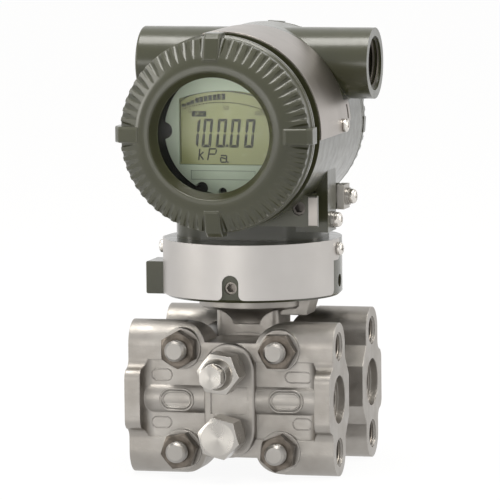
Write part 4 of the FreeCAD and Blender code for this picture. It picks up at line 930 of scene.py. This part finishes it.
scale = bmesh.new()
arc_x = [SCALE_START + SCALE_RUN * k / SCALE_PARTS for k in range(SCALE_PARTS + 1)]
stroke(scale, [(x, arc_height(x, SCALE_CROWN, SCALE_FALL, SCALE_MIDDLE)) for x in arc_x],
       ARC_LINE, FACE_Y, SCALE_RISE)
for x in TICKS:
    base = arc_height(x, SCALE_CROWN, SCALE_FALL, SCALE_MIDDLE)
    reach = LONG_TICK if x == SCALE_MIDDLE else SHORT_TICK
    stroke(scale, [(x, base), (x, base - reach)], TICK_LINE, FACE_Y, SCALE_RISE)
for number, x, z in (("50", -1.35, 143.2), ("0", -15.3, 141.9), ("100", 10.6, 141.3)):
    for k, sign in enumerate(number):
        digit(scale, sign, x + DIGIT_STEP * k, z, **SCALE_DIGIT)
for x, z in PERCENT_DOTS:
    stroke(scale, [(x - DOT_HALF, z), (x + DOT_HALF, z)], DOT_LINE, FACE_Y, SCALE_RISE)
stroke(scale, PERCENT_BAR, TICK_LINE, FACE_Y, SCALE_RISE)
settle("display_scale", scale, "housing", CRYSTAL_FAINT)

# %% [markdown]
# ## Strokes in the mode field
#
# Inside the dark mode field a few pale strokes stand where the crystal is left clear. The
# field could be cut open for them, but a pale stroke on top looks the same and keeps the
# field one simple prism. They take the display's own finish and stand on the field.

# %% Mode strokes
MODE_RISE = 0.03
MODE_Y = FACE_Y - MARK_RISE
MODE_STROKES = (
    ([(-12.3, 141.0), (-12.1, 142.1)], 0.34),
    ([(-12.0, 142.1), (-11.0, 142.1), (-11.05, 141.55), (-12.0, 141.5)], 0.3),
    ([(-10.4, 141.5), (-9.5, 141.5)], 0.3),
)
mode = bmesh.new()
for points, width in MODE_STROKES:
    stroke(mode, points, width, MODE_Y, MODE_RISE)
settle("display_mode", mode, "housing", DISPLAY)

# %% [markdown]
# ## Outline on the bezel
#
# The mint moulding round the display has a bare rectangle below it, framed by a fine line
# that is a little darker than the moulding: the shade in a fine groove of the tool. A thin
# raised line in a darker mint is that painted shade, and it leaves the solid alone.

# %% Bezel outline
# The darker mint is painted shade along the groove round the bare rectangle.
MINT_SHADE_LINE = plain("mint_shadow", (0.36, 0.43, 0.37), (0.40, 0.47, 0.41), 0.55, 1400)
BEZEL_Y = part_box("indicator_bezel")[0][1] / MM
OUTLINE_LEFT, OUTLINE_RIGHT = -14.2, 11.3
OUTLINE_LOW, OUTLINE_HIGH = 116.2, 119.6
OUTLINE_LINE = 0.28
outline = bmesh.new()
stroke(outline, [(OUTLINE_LEFT, OUTLINE_LOW), (OUTLINE_LEFT, OUTLINE_HIGH),
                 (OUTLINE_RIGHT, OUTLINE_HIGH), (OUTLINE_RIGHT, OUTLINE_LOW),
                 (OUTLINE_LEFT, OUTLINE_LOW)], OUTLINE_LINE, BEZEL_Y, SHADE_LINE_RISE)
settle("bezel_outline", outline, "housing", MINT_SHADE_LINE)

# %% [markdown]
# ## Ovals cast on the flanges
#
# Each flange carries raised oval lines, bare inside: four small ones on its shallow
# fields, and a larger double one on each half of the rib. They come out of the foundry's
# mould, so they are round beads and not sharp lines. A round bead swept along an oval
# path gives that. The large ones also stand on a flat pad. Both flanges are one casting
# turned round, so the second set is the first turned half a turn.

# %% Ovals cast on the flanges
FIELD_Y = -35.45
RIB_Y = -37.75
OVAL_STEPS = 40
FIELD_OVALS = ((-27.9, 39.3, 8.1, 4.5), (-28.2, 20.6, 7.9, 4.3),
               (27.0, 39.3, 10.5, 4.2), (28.4, 21.1, 7.6, 4.4))
RIB_OVALS = ((-21.4, 29.9, 13.2, 8.4), (22.4, 30.2, 13.5, 8.6))
FIELD_BEAD, RIB_BEAD, INNER_BEAD = 0.27, 0.4, 0.34
INNER_INSET = 2.1
PAD_FRONT, PAD_REAR = 0.15, 1.6


def oval(cx, cz, wide, high, y):
    """A slot-shaped path: straight sides with half circles at the ends."""
    points = []
    radius = high / 2
    reach = wide / 2 - radius
    for k in range(OVAL_STEPS):
        angle = 2 * math.pi * k / OVAL_STEPS
        x = radius * math.cos(angle) + (reach if math.cos(angle) >= 0 else -reach)
        points.append((cx + x, y, cz + radius * math.sin(angle)))
    return points


def bead(form, path, radius, sides=8):
    """A round bead along a closed path of x, y, z points."""
    rings = []
    count = len(path)
    for i, point in enumerate(path):
        along = (Vector(path[(i + 1) % count]) - Vector(path[i - 1])).normalized()
        side = along.cross(Vector((0, 1, 0))).normalized()
        out = side.cross(along).normalized()
        rings.append([form.verts.new(Vector(point) + radius * (
            side * math.cos(2 * math.pi * k / sides)
            + out * math.sin(2 * math.pi * k / sides))) for k in range(sides)])
    for i in range(count):
        a, b = rings[i], rings[(i + 1) % count]
        for k in range(sides):
            form.faces.new((a[k], a[(k + 1) % sides], b[(k + 1) % sides], b[k]))


def pad(form, front, rear):
    """A flat block between two outlines of the same number of points."""
    front_ring = [form.verts.new(point) for point in front]
    rear_ring = [form.verts.new(point) for point in rear]
    form.faces.new(front_ring)
    form.faces.new(rear_ring[::-1])
    for k in range(len(front)):
        j = (k + 1) % len(front)
        form.faces.new((front_ring[k], rear_ring[k], rear_ring[j], front_ring[j]))


ovals = bmesh.new()
for turn in (1, -1):
    def on_flange(points):
        return [(x * turn, y * turn, z) for x, y, z in points]
    for cx, cz, wide, high in FIELD_OVALS:
        bead(ovals, on_flange(oval(cx, cz, wide, high, FIELD_Y)), FIELD_BEAD)
    for cx, cz, wide, high in RIB_OVALS:
        bead(ovals, on_flange(oval(cx, cz, wide, high, RIB_Y)), RIB_BEAD)
        bead(ovals, on_flange(oval(cx, cz, wide - INNER_INSET, high - INNER_INSET, RIB_Y)),
             INNER_BEAD)
        pad(ovals, on_flange(oval(cx, cz, wide, high, RIB_Y + PAD_FRONT)),
            on_flange(oval(cx, cz, wide, high, RIB_Y + PAD_REAR)))
settle("cast_ovals", ovals, "sensor", CAST)

# %% [markdown]
# ## Threads
#
# A thread is a ridge that climbs a wall by its pitch on every turn. In a solid model it is
# costly and the solids here have plain bores, so the ridge is a mesh of its own that lies
# on the bore's wall. The screw modifier could sweep it, but it can't let the ridge grow
# from nothing and fade out, as a tap leaves it. So a small four-sided section is carried
# round in steps, and its size grows over the first half turn and shrinks over the last.

# %% Thread helper
FOOT_SINK = 0.02
FOOT_SHARE, CREST_SHARE = 0.44, 0.07
THINNEST = 0.02


def axes_for(direction):
    """The axis and two directions across it, so that a piece can be built along it."""
    along = Vector(direction)
    across = Vector((0, 0, 1)) if abs(along.z) < 0.5 else Vector((1, 0, 0))
    return along, across, along.cross(across)


def thread(form, start, direction, length, radius, pitch, height, steps):
    """A helical ridge. A positive height stands inward from a bore's wall, a negative one
    outward from a stud."""
    along, across, third = axes_for(direction)
    turns = length / pitch - 1
    previous = None
    for i in range(int(turns * steps) + 1):
        turn_now = i / steps
        fade = max(THINNEST, min(1, turn_now * 2, (turns - turn_now) * 2))
        angle = 2 * math.pi * turn_now
        out = across * math.cos(angle) + third * math.sin(angle)
        base = Vector(start) + along * (turn_now + 0.5) * pitch
        foot = radius + FOOT_SINK * (1 if height > 0 else -1)
        crest = radius - height * fade
        ring = [form.verts.new(base + out * r + along * pitch * shift) for r, shift in (
            (foot, -FOOT_SHARE * fade), (crest, -CREST_SHARE * fade),
            (crest, CREST_SHARE * fade), (foot, FOOT_SHARE * fade))]
        if previous:
            for k in range(4):
                j = (k + 1) % 4
                form.faces.new((previous[k], previous[j], ring[j], ring[k]))
        else:
            form.faces.new(ring)
        previous = ring
    form.faces.new(previous[::-1])


print("thread helper ready")

# %% [markdown]
# ## Threads in the conduit entries
#
# Both ends of the conduit tube are tapped for a half inch gland. The thread is cut through
# the enamel, so it shows half bare metal and half paint, darker than either because little
# light gets in. A half metallic brown gives that.

# %% Conduit threads
CONDUIT_COLOURS = (0.05, 0.045, 0.035), (0.085, 0.075, 0.06)
CONDUIT_FINISH = plain("conduit_thread", *CONDUIT_COLOURS, 0.38, 700, 0.00002, metal=0.6)
CONDUIT_END, CONDUIT_Y, CONDUIT_Z = 47.0, 12, 158
CONDUIT_THREAD = dict(length=16.2, radius=9.7, pitch=1.81, height=0.85, steps=56)
conduit_threads = bmesh.new()
for way in (-1, 1):
    thread(conduit_threads, (way * CONDUIT_END, CONDUIT_Y, CONDUIT_Z), (-way, 0, 0),
           **CONDUIT_THREAD)
settle("conduit_threads", conduit_threads, "housing", CONDUIT_FINISH)

# %% [markdown]
# ## Threads in the flanges
#
# Each flange end has a tapped port between two tapped holes for a bracket or a manifold.
# They are cut after blasting, so they are bare bright steel, only dim inside the bore.
# Each flange has its six threads in one piece, since they never part from it.

# %% Flange threads
BORE_COLOURS = (0.30, 0.27, 0.24), (0.38, 0.35, 0.31)
BORE_FINISH = plain("bore_thread", *BORE_COLOURS, 0.34, 700, 0.00002, metal=1.0)
HOLE_END, PORT_END = 40.6, 38.1
HOLE_LEVELS, PORT_LEVEL = (9.35, 50.65), 30
HOLE_THREAD = dict(length=12.8, radius=4.95, pitch=1.5, height=0.6, steps=40)
PORT_THREAD = dict(length=14.5, radius=5.9, pitch=1.41, height=0.55, steps=44)
for side, y in (("high", -27), ("low", 27)):
    bores = bmesh.new()
    for way in (-1, 1):
        for z in HOLE_LEVELS:
            thread(bores, (way * HOLE_END, y, z), (-way, 0, 0), **HOLE_THREAD)
        thread(bores, (way * PORT_END, y, PORT_LEVEL), (-way, 0, 0), **PORT_THREAD)
    settle(side + "_side_threads", bores, "sensor", BORE_FINISH)

# %% [markdown]
# ## Threads on the studs
#
# The four body bolts stand a few millimetres out of their nuts, and their thread is seen
# there. It stands outward, so its height is negative, and it is very low, because only the
# crests rise past the plain bolt of the solid.

# %% Stud threads
STUD_X, STUD_LEVELS, STUD_START = 19.8, (10.2, 49.8), -41.9
STUD_THREAD = dict(length=4.7, radius=4.0, pitch=1.0, height=-0.16, steps=36)
studs = bmesh.new()
for x in (-STUD_X, STUD_X):
    for z in STUD_LEVELS:
        thread(studs, (x, STUD_START, z), (0, -1, 0), **STUD_THREAD)
settle("stud_threads", studs, "sensor", STUD_STEEL)

# %% [markdown]
# ## Screw heads
#
# The small screws have pan heads with a cross recess: a low dome with an upright rim, and
# two tapered arms pressed into it. The dome is a profile turned about the axis. The
# recess could be bump, but it is deep and its shadow shows from every side, so two wedges
# are cut out with an exact boolean. The pieces are freed once the cut mesh is taken.

# %% Turned forms and recesses
HEAD_STEPS = 48


def lathe(profile, start, direction):
    """A closed solid turned from distance, radius pairs along an axis."""
    form = bmesh.new()
    along, across, third = axes_for(direction)
    rings = []
    for distance, radius in profile:
        centre = Vector(start) + along * distance
        if radius == 0:
            rings.append([form.verts.new(centre)])
            continue
        rings.append([form.verts.new(centre + radius * (
            across * math.cos(2 * math.pi * k / HEAD_STEPS)
            + third * math.sin(2 * math.pi * k / HEAD_STEPS))) for k in range(HEAD_STEPS)])
    for a, b in zip(rings, rings[1:]):
        for k in range(HEAD_STEPS):
            j = (k + 1) % HEAD_STEPS
            if len(a) == 1:
                form.faces.new((a[0], b[j], b[k]))
            elif len(b) == 1:
                form.faces.new((a[k], a[j], b[0]))
            else:
                form.faces.new((a[k], a[j], b[j], b[k]))
    bmesh.ops.recalc_face_normals(form, faces=form.faces)
    return form


ARM_ABOVE = 0.3
ARM_TAPER = 0.55


def recess_arm(start, direction, width, length, depth, turn_by):
    """A tapered bar that sinks into a head: one arm of a cross recess."""
    form = bmesh.new()
    along, across, third = axes_for(direction)
    c, s = math.cos(turn_by), math.sin(turn_by)
    long_way, short_way = across * c + third * s, third * c - across * s
    rings = []
    for distance, taper in ((ARM_ABOVE, 1.0), (-depth, ARM_TAPER)):
        rings.append([form.verts.new(
            Vector(start) + along * distance + long_way * length / 2 * a * taper
            + short_way * width / 2 * b * (0.5 + taper / 2))
            for a, b in ((1, 1), (-1, 1), (-1, -1), (1, -1))])
    form.faces.new(rings[0])
    form.faces.new(rings[1][::-1])
    for k in range(4):
        j = (k + 1) % 4
        form.faces.new((rings[0][j], rings[0][k], rings[1][k], rings[1][j]))
    bmesh.ops.recalc_face_normals(form, faces=form.faces)
    return form


def loose(form):
    """A scratch object that holds a bmesh, for a boolean."""
    mesh = bpy.data.meshes.new("scratch")
    form.to_mesh(mesh)
    form.free()
    thing = bpy.data.objects.new("scratch", mesh)
    bpy.context.scene.collection.objects.link(thing)
    return thing


def carve(whole, body_form, tool_forms):
    """Adds to a bmesh what is left of a body when each tool is cut out of it."""
    base = loose(body_form)
    tools = [loose(form) for form in tool_forms]
    for tool in tools:
        cut = base.modifiers.new("cut", "BOOLEAN")
        cut.object = tool
        cut.operation = "DIFFERENCE"
        cut.solver = "EXACT"
    bpy.context.view_layer.update()
    done = bpy.data.meshes.new_from_object(base.evaluated_get(
        bpy.context.evaluated_depsgraph_get()))
    whole.from_mesh(done)
    for thing in [base] + tools:
        old = thing.data
        bpy.data.objects.remove(thing)
        bpy.data.meshes.remove(old)
    bpy.data.meshes.remove(done)


print("turned forms and recesses ready")

# %% [markdown]
# ## Pan heads
#
# The profile of a pan head is an upright rim under a low dome. The dome is a quarter of an
# ellipse in six steps, and it ends in a small flat. All sizes of the recess are shares of
# the head, as they are in screws of other sizes.

# %% Pan head
RIM_CHAMFER_IN, RIM_CHAMFER_UP = 0.15, 0.12
RIM_SHARE = 0.42
FLAT_SHARE = 0.45
DOME_STEPS = 6
RECESS_WIDTH, RECESS_LENGTH, RECESS_DEPTH = 0.3, 1.28, 0.62


def pan_head(whole, start, direction, radius, height, turn_by):
    """Adds a pan head with a cross recess, standing on start, to a bmesh."""
    profile = [(0, 0), (0, radius - RIM_CHAMFER_IN), (RIM_CHAMFER_UP, radius),
               (height * RIM_SHARE, radius)]
    for step in range(1, DOME_STEPS + 1):
        swing = math.radians(step * 90 / DOME_STEPS)
        profile.append((height * (RIM_SHARE + (1 - RIM_SHARE) * math.sin(swing)),
                        radius * (FLAT_SHARE + (1 - FLAT_SHARE) * math.cos(swing))))
    profile.append((height, 0))
    top = Vector(start) + Vector(direction) * height
    arms = [recess_arm(top, direction, radius * RECESS_WIDTH, radius * RECESS_LENGTH,
                       height * RECESS_DEPTH, turn_by + quarter)
            for quarter in (0, math.pi / 2)]
    carve(whole, lathe(profile, start, direction), arms)


print("pan head ready")

# %% [markdown]
# ## Screws on the outside and inside
#
# Every pan head stands for the plain head in the solids, at its own place, direction and
# size. Real screws seldom stop at the same angle, so their turns differ. The screws of
# one node become one piece, which then stands in that node's place.

# %% Screw heads in their places
SCREW = turned("screw_steel", "X", (0, 0, 0), 0.0005, (0.68, 0.65, 0.61), 0.26)
RIGHT_WAY, REAR_WAY = (1, 0, 0), (0, 1, 0)
DRUM_RADIUS, DRUM_SCREW_Z = 35.5, 86.3
DRUM_ANGLE = math.radians(84.5)
TERMINALS = (-16.8, -8.4, 0, 8.4, 16.8)


def drum_screw(way):
    """A screw through the plate round the neck, on its left or right end."""
    out_x, out_y = way * math.sin(DRUM_ANGLE), -math.cos(DRUM_ANGLE)
    return ((DRUM_RADIUS * out_x, DRUM_RADIUS * out_y, DRUM_SCREW_Z), (out_x, out_y, 0),
            2.6, 1.9, 0.3)


SCREW_HEADS = {
    # node: its heads, each with place, direction, radius, height and turn
    "data_plate_screw": [((38.9, -6.5, 135), RIGHT_WAY, 2.6, 1.9, 0.5)],
    "earth_screw": [((38.9, 2.6, 106.4), RIGHT_WAY, 2.9, 2.6, 0.2)],
    "cheek_screw": [((35.9, -9.5, 98.4), RIGHT_WAY, 2.9, 2.6, 0.6)],
    "drum_plate_screws": [drum_screw(-1), drum_screw(1)],
    "terminal_screws": [((x, 9, 135.5), REAR_WAY, 2.6, 2.4, 0.4 + x) for x in TERMINALS],
    "inner_earth_screw": [((-13.2, -8, 113), REAR_WAY, 3.4, 2.2, 0.9)],
}
for node, heads in SCREW_HEADS.items():
    whole = bmesh.new()
    for head in heads:
        pan_head(whole, *head)
    piece = settle(node + "_head", whole, "housing", SCREW)
    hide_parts(node)
